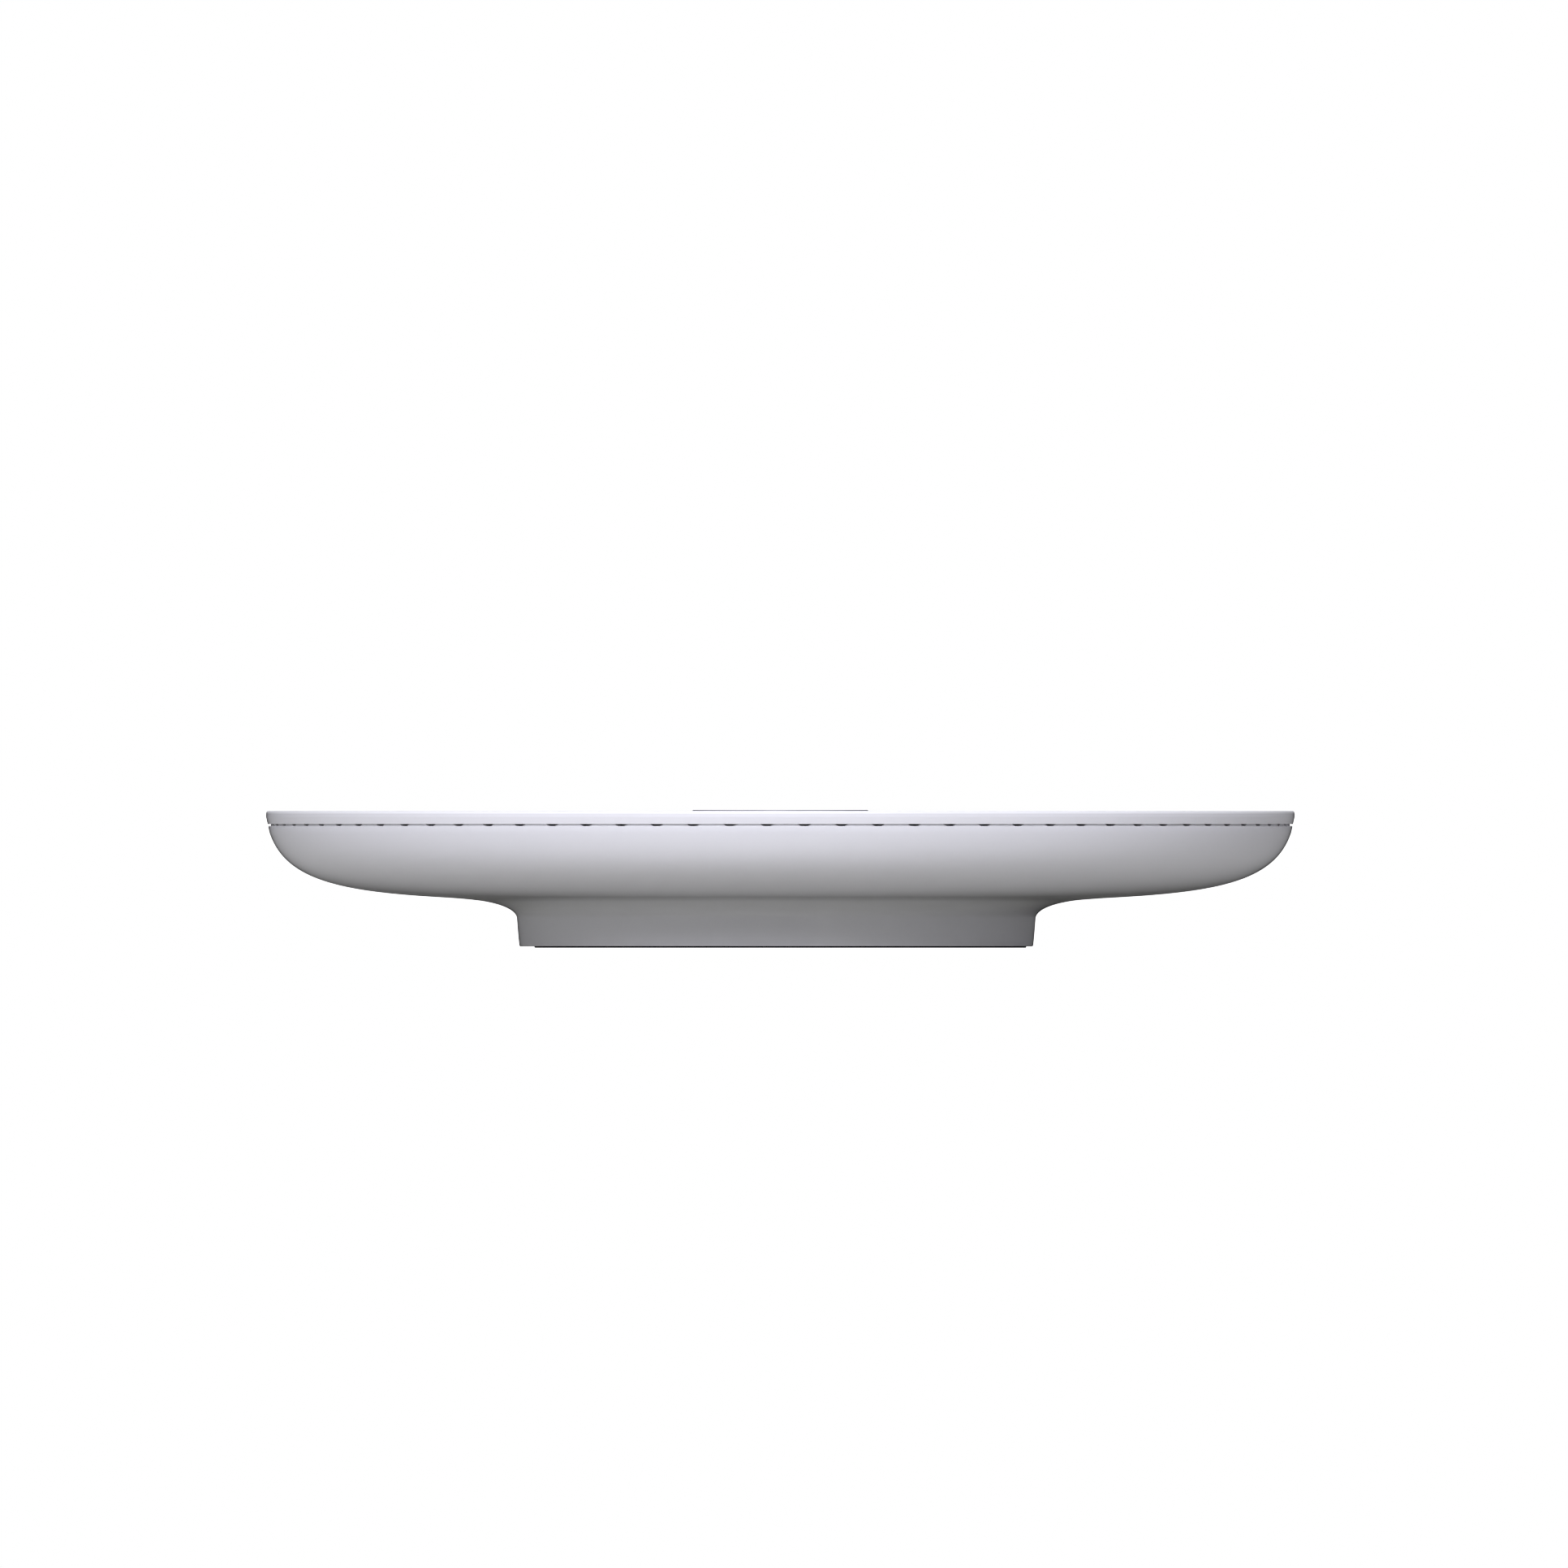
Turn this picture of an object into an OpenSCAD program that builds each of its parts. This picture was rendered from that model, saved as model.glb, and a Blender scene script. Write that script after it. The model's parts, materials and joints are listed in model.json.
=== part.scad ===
// Ceiling access point: a wide, shallow round housing on a narrower foot,
// held by a twist-lock mounting plate. Millimetres. The wide face looks up
// (+Z), the plate's contact face is on z = 0 and the disc's axis is Z.
// The front is -Y. The network jack opens towards +X inside the foot.

/* [Disc] */
// Diameter over the cap's rim
disc_d = 220; // [219.6:0.1:220.4]
// Height of the flat face above the contact plane
face_z = 29.2; // [29.1:0.05:29.4]
// Thickness of the cap's flat top
cap_wall = 2.0; // [1.8:0.1:2.2]
// Radius of the rounding on the cap's upper edge
cap_round = 0.35; // [0.2:0.05:0.5]
// Height of the seam between cap and housing
seam_h = 0.4; // [0.35:0.05:0.45]
// Height of the housing's rim
rim_z = 26.0; // [25.9:0.05:26.05]
// Wall thickness of the moulded housing
shell_wall = 2.2; // [2.0:0.1:2.4]

/* [Indicator] */
// Diameter of the indicator disc let into the face
lens_d = 37.5; // [36:0.5:39]
// How far the indicator disc stands proud of the face
lens_proud = 0.23; // [0.1:0.01:0.3]

/* [Vent seam] */
// Number of openings round the seam
vent_count = 86; // [60:1:96]
// Width of each opening half way up the seam
vent_w = 2.4; // [1.6:0.1:3.2]
// Angle of the first opening from the front
vent_start = 2.7; // [0:0.05:4]

/* [Foot] */
// Sideways offset of the foot from the disc's axis
foot_x = -0.87; // [-1.2:0.01:0]
// Radius of the foot at mid height
foot_r = 55.2; // [55:0.1:55.6]
// Gap between the foot's edge and the ceiling
foot_gap = 0.3; // [0.2:0.05:0.4]

/* [Mounting plate] */
// Radius of the mounting plate
plate_r = 52.6; // [52.4:0.05:52.7]
// Thickness of the plate's sheet
plate_t = 1.2; // [1.1:0.05:1.25]
// Radius of the circle the three studs stand on
stud_r = 40; // [39.8:0.1:40.2]
// Twist from locked to the keyhole's wide end, degrees
twist = 18; // [16:0.5:18]
// Width of the keyhole's narrow part
slot_w = 4.6; // [4.5:0.1:4.8]
// Diameter of the keyhole's wide end
entry_d = 9.2; // [8.8:0.1:9.4]
// Hole spacing for round boxes
round_box = 60; // [59:0.5:61]
// Hole spacing of the square screw pattern, each way
square_box = 44; // [43:0.5:45]
// Least hole spacing served by the long slots
box_min = 83.3; // [83:0.1:83.6]
// Greatest hole spacing served by the long slots
box_max = 88.9; // [88.5:0.1:89]

/* [Board] */
// Radius of the main board
pcb_r = 90; // [86:1:92]
// Thickness of the main board
pcb_t = 1.6; // [1.5:0.1:1.7]

/* [Hidden] */

// facets of a full turn, by size of part
disc_fn = 180;
lens_fn = 96;
cable_fn = 64;
small_fn = 48;

// overlaps: of a cut past a face, and of a joined part into its base
eps = 0.01;
root = 0.5;
// top of a cut that clears everything
clear_z = 40;

chip_color = [0.08, 0.08, 0.09];
antenna_color = [0.82, 0.8, 0.72];

// disc levels
disc_r = disc_d / 2;
under_z = face_z - cap_wall;
skirt_z = rim_z + seam_h;
lens_seat_z = face_z - 1.2;

// foot floor, with the plate's recess below and the cavity above
floor_z = 5.8;
floor_top = floor_z + 1.6;
recess_r = plate_r + 0.3;
cavity_r = 52.4;

// plate: raised middle and twist-lock studs
deck_z = 1.8;
deck_top = deck_z + plate_t;
stud_angles = [105, 225, 345];

// screw posts joining housing and cap
post_angles = [75, 195, 315];
post_r = 46;
post_joint_z = 11;
post_hole_d = 3.1;
screw_seat_z = 8.4;

// board, and the bosses that carry it
pcb_z = 20.4;
pcb_top = pcb_z + pcb_t;
boss_angles = [30, 120, 210, 300];
boss_r = 78;
boss_top = 14.6;
board_hole_d = 3.4;

// chips cooled through pads; the processor is at soc_angle
soc_angle = 75;
radio_angles = [165, 255];
chip_r = 69;
soc_h = 1.5;
radio_h = 1.2;
pad_t = 0.8;
soc_pad_z = pcb_z - soc_h - pad_t;
radio_pad_z = pcb_z - radio_h - pad_t;

// network jack
jack_l = 21.3;
jack_w = 16;
jack_open_x = -17.2;
jack_z = 7.6;

// latch; its own frame is turned to latch_angle
latch_angle = 45;
latch_r = 40;
pin_y = 8;
pin_rise = 0.6;

reset_xy = [-8, -26];

// ---------- helpers ----------

module at(angle, radius, z = 0) {
    rotate([0, 0, angle]) translate([radius, 0, z]) children();
}

module at_reset() {
    translate([reset_xy.x, reset_xy.y, 0]) children();
}

// box centred in x and y on the point its underside stands on
module block(size, base = [0, 0, 0]) {
    translate([base.x - size.x / 2, base.y - size.y / 2, base.z]) cube(size);
}

// box centred on [x, y], hanging from the board's underside
module hung(size, xy = [0, 0]) {
    block(size, [xy.x, xy.y, pcb_z - size.z]);
}

// upright cylinder between two levels
module rod(d, bottom, top) {
    translate([0, 0, bottom]) cylinder(d = d, h = top - bottom, $fn = small_fn);
}

// solid of revolution from [radius, z] points
module turned(points, fn = small_fn) {
    rotate_extrude($fn = fn) polygon(points);
}

// screw pointing up, its head's bearing face on z = 0
module screw(head_h, length, drive_w) {
    head_r = 2.8;
    bevel = 0.4;
    difference() {
        union() {
            rod(3, 0, length);
            translate([0, 0, -head_h])
                turned([[0, 0], [head_r - bevel, 0], [head_r, bevel],
                    [head_r, head_h], [0, head_h]]);
        }
        for (a = [0, 90]) rotate([0, 0, a])
            block([drive_w, drive_w / 4, head_h * 0.6 + 1], [0, 0, -head_h - 1]);
    }
}

// cubic Bezier curve through four control points
function bezier(p, t) = pow(1 - t, 3) * p[0] + 3 * pow(1 - t, 2) * t * p[1]
    + 3 * (1 - t) * t * t * p[2] + pow(t, 3) * p[3];
function bezier_slope(p, t) = 3 * pow(1 - t, 2) * (p[1] - p[0])
    + 6 * (1 - t) * t * (p[2] - p[1]) + 3 * t * t * (p[3] - p[2]);
// curve point moved by wall towards the inside of the bowl
function bezier_inside(p, t, wall) = let (slope = bezier_slope(p, t))
    bezier(p, t) + wall * [slope[1], -slope[0]] / norm(slope);

// ---------- mounting plate and latch ----------

plate_cut_top = 4;
plate_edge = 0.15;
cable_hole_r = 11;
cable_hole_x = [-2, 14];
round_box_hole_d = 4.5;
square_box_hole_d = 4.2;

leaf_t = 0.4;
leaf_z = deck_z - leaf_t;
leaf_w = 5;
rivet_y = -10.5;
rivet_hole_d = 2.04;
// underside of the flat heads below the leaf
latch_head_z = leaf_z - 0.4;

module at_latch_pin() {
    rotate([0, 0, latch_angle]) translate([latch_r, pin_y, 0]) children();
}

module at_rivets() {
    rotate([0, 0, latch_angle])
        for (side = [-1, 1])
            translate([latch_r + 2 * side, rivet_y, 0]) children();
}

// narrow arc from the locked end at the given angle to the wide end
module keyhole(angle) {
    bottom = deck_z - 1;
    height = 3.5;
    rotate([0, 0, angle]) {
        rotate_extrude(angle = twist, $fn = disc_fn)
            translate([stud_r - slot_w / 2, bottom]) square([slot_w, height]);
        at(0, stud_r) rod(slot_w, bottom, bottom + height);
        at(twist, stud_r) rod(entry_d, bottom, bottom + height);
    }
}

module mounting_plate() {
    slot_y = (box_min + box_max) / 4;
    slot_half = (box_max - box_min) / 4;
    color([0.05, 0.05, 0.055]) difference() {
        turned([[plate_r, plate_edge], [plate_r, plate_t - plate_edge],
            [plate_r - plate_edge, plate_t], [plate_r - 2.2, plate_t],
            [plate_r - 3.8, deck_top], [0, deck_top], [0, deck_z],
            [plate_r - 4.5, deck_z], [plate_r - 3, 0],
            [plate_r - plate_edge, 0]], disc_fn);
        for (a = stud_angles) keyhole(a);
        // cable opening, long in x
        for (x = cable_hole_x) translate([x, 0, 0])
            cylinder(r = cable_hole_r, h = plate_cut_top, $fn = cable_fn);
        translate([cable_hole_x[0], -cable_hole_r, 0])
            cube([cable_hole_x[1] - cable_hole_x[0], 2 * cable_hole_r, plate_cut_top]);
        for (side = [-1, 1]) {
            // long slot for junction boxes
            for (end = [-1, 1])
                translate([0, side * slot_y + end * slot_half, 0])
                    rod(slot_w, 0, plate_cut_top);
            block([slot_w, 2 * slot_half, plate_cut_top], [0, side * slot_y, 0]);
            // round box pair
            translate([0, side * round_box / 2, 0])
                rod(round_box_hole_d, 0, plate_cut_top);
            // square pattern
            for (across = [-1, 1])
                translate([across * square_box / 2, side * square_box / 2, 0])
                    rod(square_box_hole_d, 0, plate_cut_top);
        }
        at_latch_pin() rod(5, 0, plate_cut_top);
        at_rivets() rod(rivet_hole_d, 0, plate_cut_top);
    }
}

module latch_spring() {
    color([0.62, 0.63, 0.65]) difference() {
        union() {
            rotate([0, 0, latch_angle]) {
                block([8, 8, leaf_t], [latch_r, -10, leaf_z]);
                block([leaf_w, 14, leaf_t], [latch_r, 0.5, leaf_z]);
            }
            at_latch_pin() rod(leaf_w, leaf_z, deck_z);
        }
        at_rivets() rod(rivet_hole_d, 0, plate_cut_top);
        at_latch_pin() rod(1.64, 0, plate_cut_top);
    }
}

module latch_pin() {
    top = floor_z + pin_rise;
    color([0.12, 0.12, 0.13]) at_latch_pin() {
        turned([[0, deck_z], [1.8, deck_z], [1.8, top - 0.5],
            [1.6, top - 0.2], [1.1, top], [0, top]]);
        // neck through the leaf, and its head
        rod(1.6, latch_head_z, deck_z + 0.1);
        rod(3, latch_head_z, leaf_z);
    }
}

module latch_rivets() {
    color([0.7, 0.7, 0.72]) at_rivets() {
        rod(2, latch_head_z, deck_top + 0.4);
        rod(3.4, latch_head_z, leaf_z);
        translate([0, 0, deck_top])
            turned([[0, 0], [1.7, 0], [1.6, 0.3], [1.1, 0.55], [0, 0.6]]);
    }
}

// ---------- housing ----------

// Bezier control points, [radius, z]
// bowl's outside, from its rim inwards to the foot
bowl = [[disc_r - 0.42, rim_z - 0.35], [disc_r - 3.57, 13.45],
    [92.55, 11.62], [65.9, 10.41]];
bowl_steps = 26;
// fillet from the bowl down into the foot, about the foot's axis
fillet = [[foot_r + 9.4, 10.16], [foot_r + 5.4, 9.74],
    [foot_r + 0.4, 8.5], [foot_r + 0.25, 6.2]];
fillet_steps = 14;

// straight runs that carry on from the two curves
bowl_end_r = 61;
bowl_end_z = bowl[3][1] - (bowl[3][0] - bowl_end_r) * 0.0454;
foot_top_r = 69.5;
foot_top_z = fillet[0][1] + (foot_top_r - fillet[0][0]) * 0.106;
bowl_floor_z = 10.3 + shell_wall;

// cable bay under the board
bay_x = [-17, 27];
bay_l = bay_x[1] - bay_x[0];
bay_y = 11;
bay_wall = 1.6;
bay_ceiling_z = 18.4;
bay_top = 20;
bay_base_z = floor_top - root;

module bowl_solid() {
    turned(concat(
        [[0, rim_z], [disc_r - 0.85, rim_z], [disc_r - 0.6, rim_z - 0.07],
            [disc_r - 0.47, rim_z - 0.19]],
        [for (i = [0:bowl_steps]) bezier(bowl, i / bowl_steps)],
        [[bowl_end_r, bowl_end_z], [0, bowl_end_z]]), disc_fn);
}

module foot_solid() {
    translate([foot_x, 0, 0]) turned(concat(
        [[0, 12], [70, 12], [foot_top_r, foot_top_z]],
        [for (i = [0:fillet_steps]) bezier(fillet, i / fillet_steps)],
        [[foot_r, 3.0], [foot_r - 0.16, 1.3],
            [foot_r - 0.28, foot_gap + 0.25],
            [foot_r - 0.45, foot_gap + 0.05],
            [foot_r - 0.6, foot_gap], [0, foot_gap]]), disc_fn);
}

module bowl_hollow() {
    mouth_r = disc_r - 2.7;
    turned(concat(
        [[0, rim_z + 1], [mouth_r, rim_z + 1], [mouth_r, 23.5]],
        [for (i = [5:bowl_steps - 1])
            bezier_inside(bowl, i / bowl_steps, shell_wall)],
        [[62, bowl_floor_z], [cavity_r, bowl_floor_z],
            [cavity_r, floor_top], [0, floor_top]]), disc_fn);
}

// ramp cut in the floor's underside over the latch pin's path
module latch_ramp() {
    path_r = norm([latch_r, pin_y]);
    path_angle = latch_angle + atan(pin_y / latch_r);
    run = path_r * twist * PI / 180;
    width = 6;
    end_room = 2.4;
    depth = 2;
    at(path_angle - twist / 2, path_r, floor_z)
        rotate([atan(pin_rise / run), 0, 0])
            translate([-width / 2, -run / 2 - end_room, -depth])
                cube([width, run + 2 * end_room, depth + 0.15 + pin_rise / 2]);
}

// what is taken out of the foot's floor from below
module floor_cuts() {
    through_z = floor_top + 1;
    // recess for the plate
    translate([0, 0, -1])
        cylinder(r = recess_r, h = floor_z + 1, $fn = disc_fn);
    // cable bay's mouth
    translate([bay_x[0], -bay_y, 0]) cube([bay_l, 2 * bay_y, through_z]);
    for (a = stud_angles) at(a, stud_r) rod(6.04, 0, through_z);
    // screws: counterbore and shank
    for (a = post_angles) at(a, post_r) {
        rod(6.2, 0, screw_seat_z);
        rod(3.3, 0, 12);
    }
    // reset pinhole, and the wider bore above it
    at_reset() {
        cylinder(d = 1.8, h = through_z, $fn = 32);
        rod(3.4, floor_top, floor_top + 8);
    }
    latch_ramp();
}

module bay_walls() {
    difference() {
        translate([bay_x[0] - bay_wall, -bay_y - bay_wall, bay_base_z])
            cube([bay_l + 2 * bay_wall, 2 * (bay_y + bay_wall),
                bay_top - bay_base_z]);
        translate([bay_x[0], -bay_y, 0])
            cube([bay_l, 2 * bay_y, bay_ceiling_z]);
        // jack's window in the -X wall
        translate([bay_x[0] - 2, -jack_w / 2 - 0.2, floor_top])
            cube([2 + eps, jack_w + 0.4, 20]);
    }
}

module bottom_housing() {
    color([0.93, 0.93, 0.95]) difference() {
        union() {
            difference() {
                union() {
                    bowl_solid();
                    foot_solid();
                }
                bowl_hollow();
            }
            bay_walls();
            for (a = post_angles) at(a, post_r)
                rod(9, floor_top - root, post_joint_z);
            for (a = boss_angles) at(a, boss_r) rod(8, 12, boss_top);
            at_reset() rod(6, floor_top - root, floor_top - root + 5);
            // ribs on the cavity's side wall, none on the x axis
            for (a = [0:30:330]) if (a != 0 && a != 180)
                at(a, 50.5, floor_top - root)
                    translate([0, -0.6, 0]) cube([2.6, 1.2, 5.4]);
        }
        floor_cuts();
        // board screw holes, blind
        for (a = boss_angles) at(a, boss_r) rod(3.1, 11.9, 19.9);
    }
}

module vent_ring() {
    inner_r = disc_r - 4.5;
    step_r = disc_r - 2.8;
    outer_r = disc_r - 1;
    bottom_z = 23.8;
    // each opening is the lower part of a circle, vent_w across half
    // way up the seam and wider at the cap
    drop = 0.1;
    chord_h = seam_h / 2 + drop;
    vent_r = (vent_w * vent_w / 4 + chord_h * chord_h) / (2 * chord_h);
    color([0.9, 0.9, 0.92]) difference() {
        turned([[inner_r, skirt_z], [inner_r, bottom_z], [step_r, bottom_z],
            [step_r, rim_z], [outer_r, rim_z], [outer_r, skirt_z]], disc_fn);
        for (i = [0:vent_count - 1])
            at(-90 + vent_start + i * 360 / vent_count, disc_r - 6,
                rim_z - drop + vent_r)
                rotate([0, 90, 0]) cylinder(r = vent_r, h = 8, $fn = 72);
    }
}

module radome_cap() {
    skirt_r = disc_r - 2.4;
    color([0.95, 0.95, 0.97]) difference() {
        union() {
            turned(concat(
                [[0, under_z], [skirt_r, under_z], [skirt_r, skirt_z],
                    [disc_r - 0.35, skirt_z], [disc_r, 27.9]],
                [for (i = [0:5]) [disc_r - cap_round * (1 - cos(i * 18)),
                    face_z - cap_round * (1 - sin(i * 18))]],
                [[0, face_z]]), disc_fn);
            // locating rib inside the vent ring
            rotate_extrude($fn = disc_fn)
                translate([disc_r - 6.4, 24.6]) square([1.7, 3]);
            for (a = post_angles) at(a, post_r)
                rod(7, post_joint_z, under_z + root);
        }
        // pocket and window of the indicator
        translate([0, 0, lens_seat_z])
            cylinder(d = lens_d + 0.1, h = 3, $fn = lens_fn);
        translate([0, 0, under_z - 1]) cylinder(r = 14.3, h = 4, $fn = lens_fn);
        for (a = post_angles) at(a, post_r) rod(post_hole_d, 10, 22);
    }
}

module indicator_lens() {
    top = face_z + lens_proud;
    radius = lens_d / 2;
    bevel = 0.1;
    color([0.75, 0.76, 0.78])
        turned([[0, lens_seat_z], [radius, lens_seat_z],
            [radius, top - bevel], [radius - bevel, top], [0, top]], lens_fn);
}

module light_guide() {
    color([0.85, 0.87, 0.9])
        turned([[8, 23.1], [14, 23.1], [14, 25.4], [16.5, 25.4],
            [16.5, under_z], [14, under_z], [14, lens_seat_z],
            [11.5, lens_seat_z], [8, 25.5]], lens_fn);
}

module bayonet_studs() {
    flange_top = floor_top + 0.9;
    color([0.75, 0.76, 0.78]) for (a = stud_angles) at(a, stud_r)
        turned([[0, 0.5], [3.6, 0.5], [4, 0.8], [4, 1.6], [2, 1.6],
            [2, floor_z], [3, floor_z], [3, floor_top], [4.5, floor_top],
            [4.5, flange_top], [0, flange_top]]);
}

module housing_screws() {
    color([0.6, 0.61, 0.63]) for (a = post_angles)
        at(a, post_r, screw_seat_z)
            screw(head_h = 2.1, length = 12, drive_w = 3);
}

module rating_label() {
    thickness = 0.1;
    color([0.88, 0.88, 0.88])
        block([26, 11, thickness], [0, -38, floor_z - thickness]);
}

// ---------- board and cooling ----------

spreader_top = boss_top + 2.0;
spreader_base_z = spreader_top - root;

module main_pcb() {
    color([0.05, 0.25, 0.14]) difference() {
        translate([0, 0, pcb_z]) cylinder(r = pcb_r, h = pcb_t, $fn = disc_fn);
        for (a = post_angles) at(a, post_r) rod(8, 0, clear_z);
        for (a = boss_angles) at(a, boss_r) rod(board_hole_d, 0, clear_z);
        // notches in the edge
        for (a = [45:90:315]) at(a, pcb_r + 1) rod(8, 0, clear_z);
    }
}

module pcb_screws() {
    color([0.7, 0.7, 0.72]) for (a = boss_angles) at(a, boss_r, pcb_top)
        mirror([0, 0, 1]) screw(head_h = 1.9, length = 9.5, drive_w = 2.8);
}

// square block from the spreader up to a thermal pad
module pedestal(angle, width, pad_z) {
    at(angle, chip_r)
        block([width, width, pad_z - spreader_base_z], [0, 0, spreader_base_z]);
}

// true where an angle is at least gap from every place
function clear_of(angle, places, gap) =
    min([for (place = places) abs(angle - place)]) >= gap;

module heat_spreader() {
    color([0.78, 0.79, 0.8]) difference() {
        union() {
            translate([0, 0, boss_top]) difference() {
                cylinder(r = 84, h = spreader_top - boss_top, $fn = disc_fn);
                translate([0, 0, -1]) cylinder(r = 54, h = 5, $fn = disc_fn);
            }
            for (a = boss_angles) at(a, boss_r)
                rod(7, spreader_base_z, pcb_z);
            pedestal(soc_angle, 22, soc_pad_z);
            for (a = radio_angles) pedestal(a, 18, radio_pad_z);
            // low fins between the pedestals
            for (a = [0:6:354])
                if (clear_of(a, boss_angles, 6) && clear_of(a, [soc_angle], 13)
                    && clear_of(a, radio_angles, 10))
                    at(a, 58, spreader_base_z)
                        translate([0, -0.5, 0]) cube([22, 1, 1.9]);
        }
        for (a = boss_angles) at(a, boss_r) rod(board_hole_d, 0, clear_z);
    }
}

module thermal_pads() {
    color([0.45, 0.55, 0.68]) {
        at(soc_angle, chip_r, soc_pad_z) block([18, 18, pad_t]);
        for (a = radio_angles)
            at(a, chip_r, radio_pad_z) block([14, 14, pad_t]);
    }
}

// ---------- chips ----------

shield_r = 66;

module soc_chip() {
    color(chip_color) at(soc_angle, chip_r) hung([19, 19, soc_h]);
}

module memory_chips() {
    color(chip_color) for (side = [-1, 1])
        at(soc_angle + side * 24, chip_r) hung([13, 8, 1.0]);
}

module flash_chip() {
    color(chip_color) at(58, 50) hung([6, 8, 1.2]);
}

module radio_chips() {
    color(chip_color) for (a = radio_angles)
        at(a, chip_r) hung([15, 15, radio_h]);
}

module front_end_chips() {
    color([0.1, 0.1, 0.11]) for (a = radio_angles) at(a, shield_r, pcb_top)
        for (x = [-8, 8]) for (y = [-8, 0, 8])
            block([4, 4, 0.9], [x, y, 0]);
}

module rf_shields() {
    width = 30;
    height = 2.6;
    wall = 0.3;
    inside_w = width - 2 * wall;
    color([0.8, 0.81, 0.82]) for (a = radio_angles)
        at(a, shield_r, pcb_top) difference() {
            block([width, width, height]);
            block([inside_w, inside_w, height - wall], [0, 0, -eps]);
            for (x = [-10:5:10]) for (y = [-10:5:10])
                translate([x, y, 1]) cylinder(d = 1.4, h = 3, $fn = 24);
        }
}

// ---------- antennas ----------

antenna_r = 87;
low_band_angles = [15:90:285];
high_band_angles = [57:90:327];

// stamped inverted-F antenna standing on the board's upper side,
// its top strip and three legs towards the disc's axis
module antenna(width, height, depth) {
    sheet = 0.4;
    end_leg_w = 1.6;
    block([sheet, width, height]);
    translate([-depth, -width / 2, height - sheet])
        cube([depth, width, sheet]);
    for (y = [-width / 2, width / 2 - end_leg_w])
        translate([-depth, y, 0]) cube([sheet, end_leg_w, height]);
    translate([-depth, -width / 2 + 4.5, 0]) cube([sheet, 1.2, height]);
}

module antennas_low_band() {
    color(antenna_color) for (a = low_band_angles) at(a, antenna_r, pcb_top)
        antenna(width = 26, height = 4.2, depth = 8);
}

module antennas_high_band() {
    color(antenna_color) for (a = high_band_angles) at(a, antenna_r, pcb_top)
        antenna(width = 14, height = 3.4, depth = 6);
}

module antenna_supports() {
    color([0.15, 0.15, 0.16]) for (a = low_band_angles)
        at(a, antenna_r - 4, pcb_top) block([4, 5, 3.8]);
}

// ---------- network jack ----------

shell_t = 0.3;
body_inset = 0.35;
shell_x = jack_open_x - jack_l;
body_x = shell_x + body_inset;
contact_count = 8;
contact_pitch = 1.016;
contact_w = 0.44;
contact_slot_w = 0.64;
// one contact's outline, [x from the body's closed end, z]
contact_outline = [[4.1, 18.15], [4.1, 17.8], [14.2, 17.8], [14.35, 17.55],
    [7.2, 14.9], [7.32, 14.57], [14.9, 17.35], [14.6, 18.15]];

function contact_y(i) = (i - (contact_count - 1) / 2) * contact_pitch;

module rj45_shell() {
    height = pcb_z - jack_z;
    color([0.75, 0.76, 0.77]) difference() {
        translate([shell_x, -jack_w / 2, jack_z])
            cube([jack_l, jack_w, height]);
        translate([shell_x + shell_t, -jack_w / 2 + shell_t, jack_z + shell_t])
            cube([jack_l + 1, jack_w - 2 * shell_t, height]);
    }
}

module rj45_body() {
    width = jack_w - 2 * body_inset;
    color([0.07, 0.07, 0.08]) difference() {
        translate([body_x, -width / 2, jack_z + body_inset])
            cube([jack_open_x - 0.2 - body_x, width, pcb_z - jack_z - 0.4]);
        // plug's cavity
        translate([body_x + 4, -5.9, 9.7]) cube([30, 11.8, 7.6]);
        // its locking tab's way
        translate([body_x + 9, -3.2, 8.6]) cube([30, 6.4, 2]);
        // slots the contacts rise into
        for (i = [0:contact_count - 1])
            translate([body_x + 4, contact_y(i) - contact_slot_w / 2, 17])
                cube([14, contact_slot_w, 1.2]);
    }
}

module rj45_contacts() {
    color([0.85, 0.68, 0.3]) for (i = [0:contact_count - 1])
        translate([body_x, contact_y(i) + contact_w / 2, 0])
            rotate([90, 0, 0])
                linear_extrude(contact_w) polygon(contact_outline);
}

// ---------- power and network parts under the board ----------

module lan_transformer() {
    color([0.09, 0.09, 0.1]) hung([17, 12, 5.6], [-30, 22]);
}

module poe_transformer() {
    bottom = 9.4;
    width = 15;
    color([0.2, 0.19, 0.18]) translate([14, -30, 0]) {
        hung([width, width, 2]);
        block([width, width, 2], [0, 0, bottom]);
        block([6, width, pcb_z - bottom], [0, 0, bottom]);
        rod(13, 11, 19);
    }
}

module power_inductors() {
    color([0.25, 0.25, 0.26]) for (x = [-34, -22])
        hung([10, 10, 5], [x, -25]);
}

module capacitors() {
    bottom = 9.6;
    height = pcb_z - bottom;
    color([0.2, 0.22, 0.28]) for (x = [4, 14, 24])
        translate([x, 27, bottom])
            turned([[0, 0.2], [3, 0.2], [3.2, 0], [3.8, 0], [4, 0.3],
                [4, 9.2], [3.7, 9.6], [4, 10], [4, height], [0, height]]);
}

module status_leds() {
    color([0.9, 0.92, 0.95]) for (a = [0:90:270])
        at(a, 11, pcb_top) block([1.6, 3, 0.8]);
}

// ---------- reset ----------

module reset_switch() {
    color([0.1, 0.1, 0.11]) at_reset() difference() {
        hung([6.2, 6.2, 3.4]);
        // button's way in, and the wider space for its head
        rod(3.4, pcb_z - 3.5, pcb_z - 1.5);
        rod(5, pcb_z - 2.6, pcb_z - 0.6);
    }
}

module reset_button() {
    head_z = pcb_z - 2.5;
    head_top = pcb_z - 1.8;
    color([0.8, 0.8, 0.78]) at_reset()
        turned([[0, 8.6], [1.2, 8.6], [1.5, 8.9], [1.5, head_z],
            [2.3, head_z], [2.3, head_top], [0, head_top]]);
}

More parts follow.
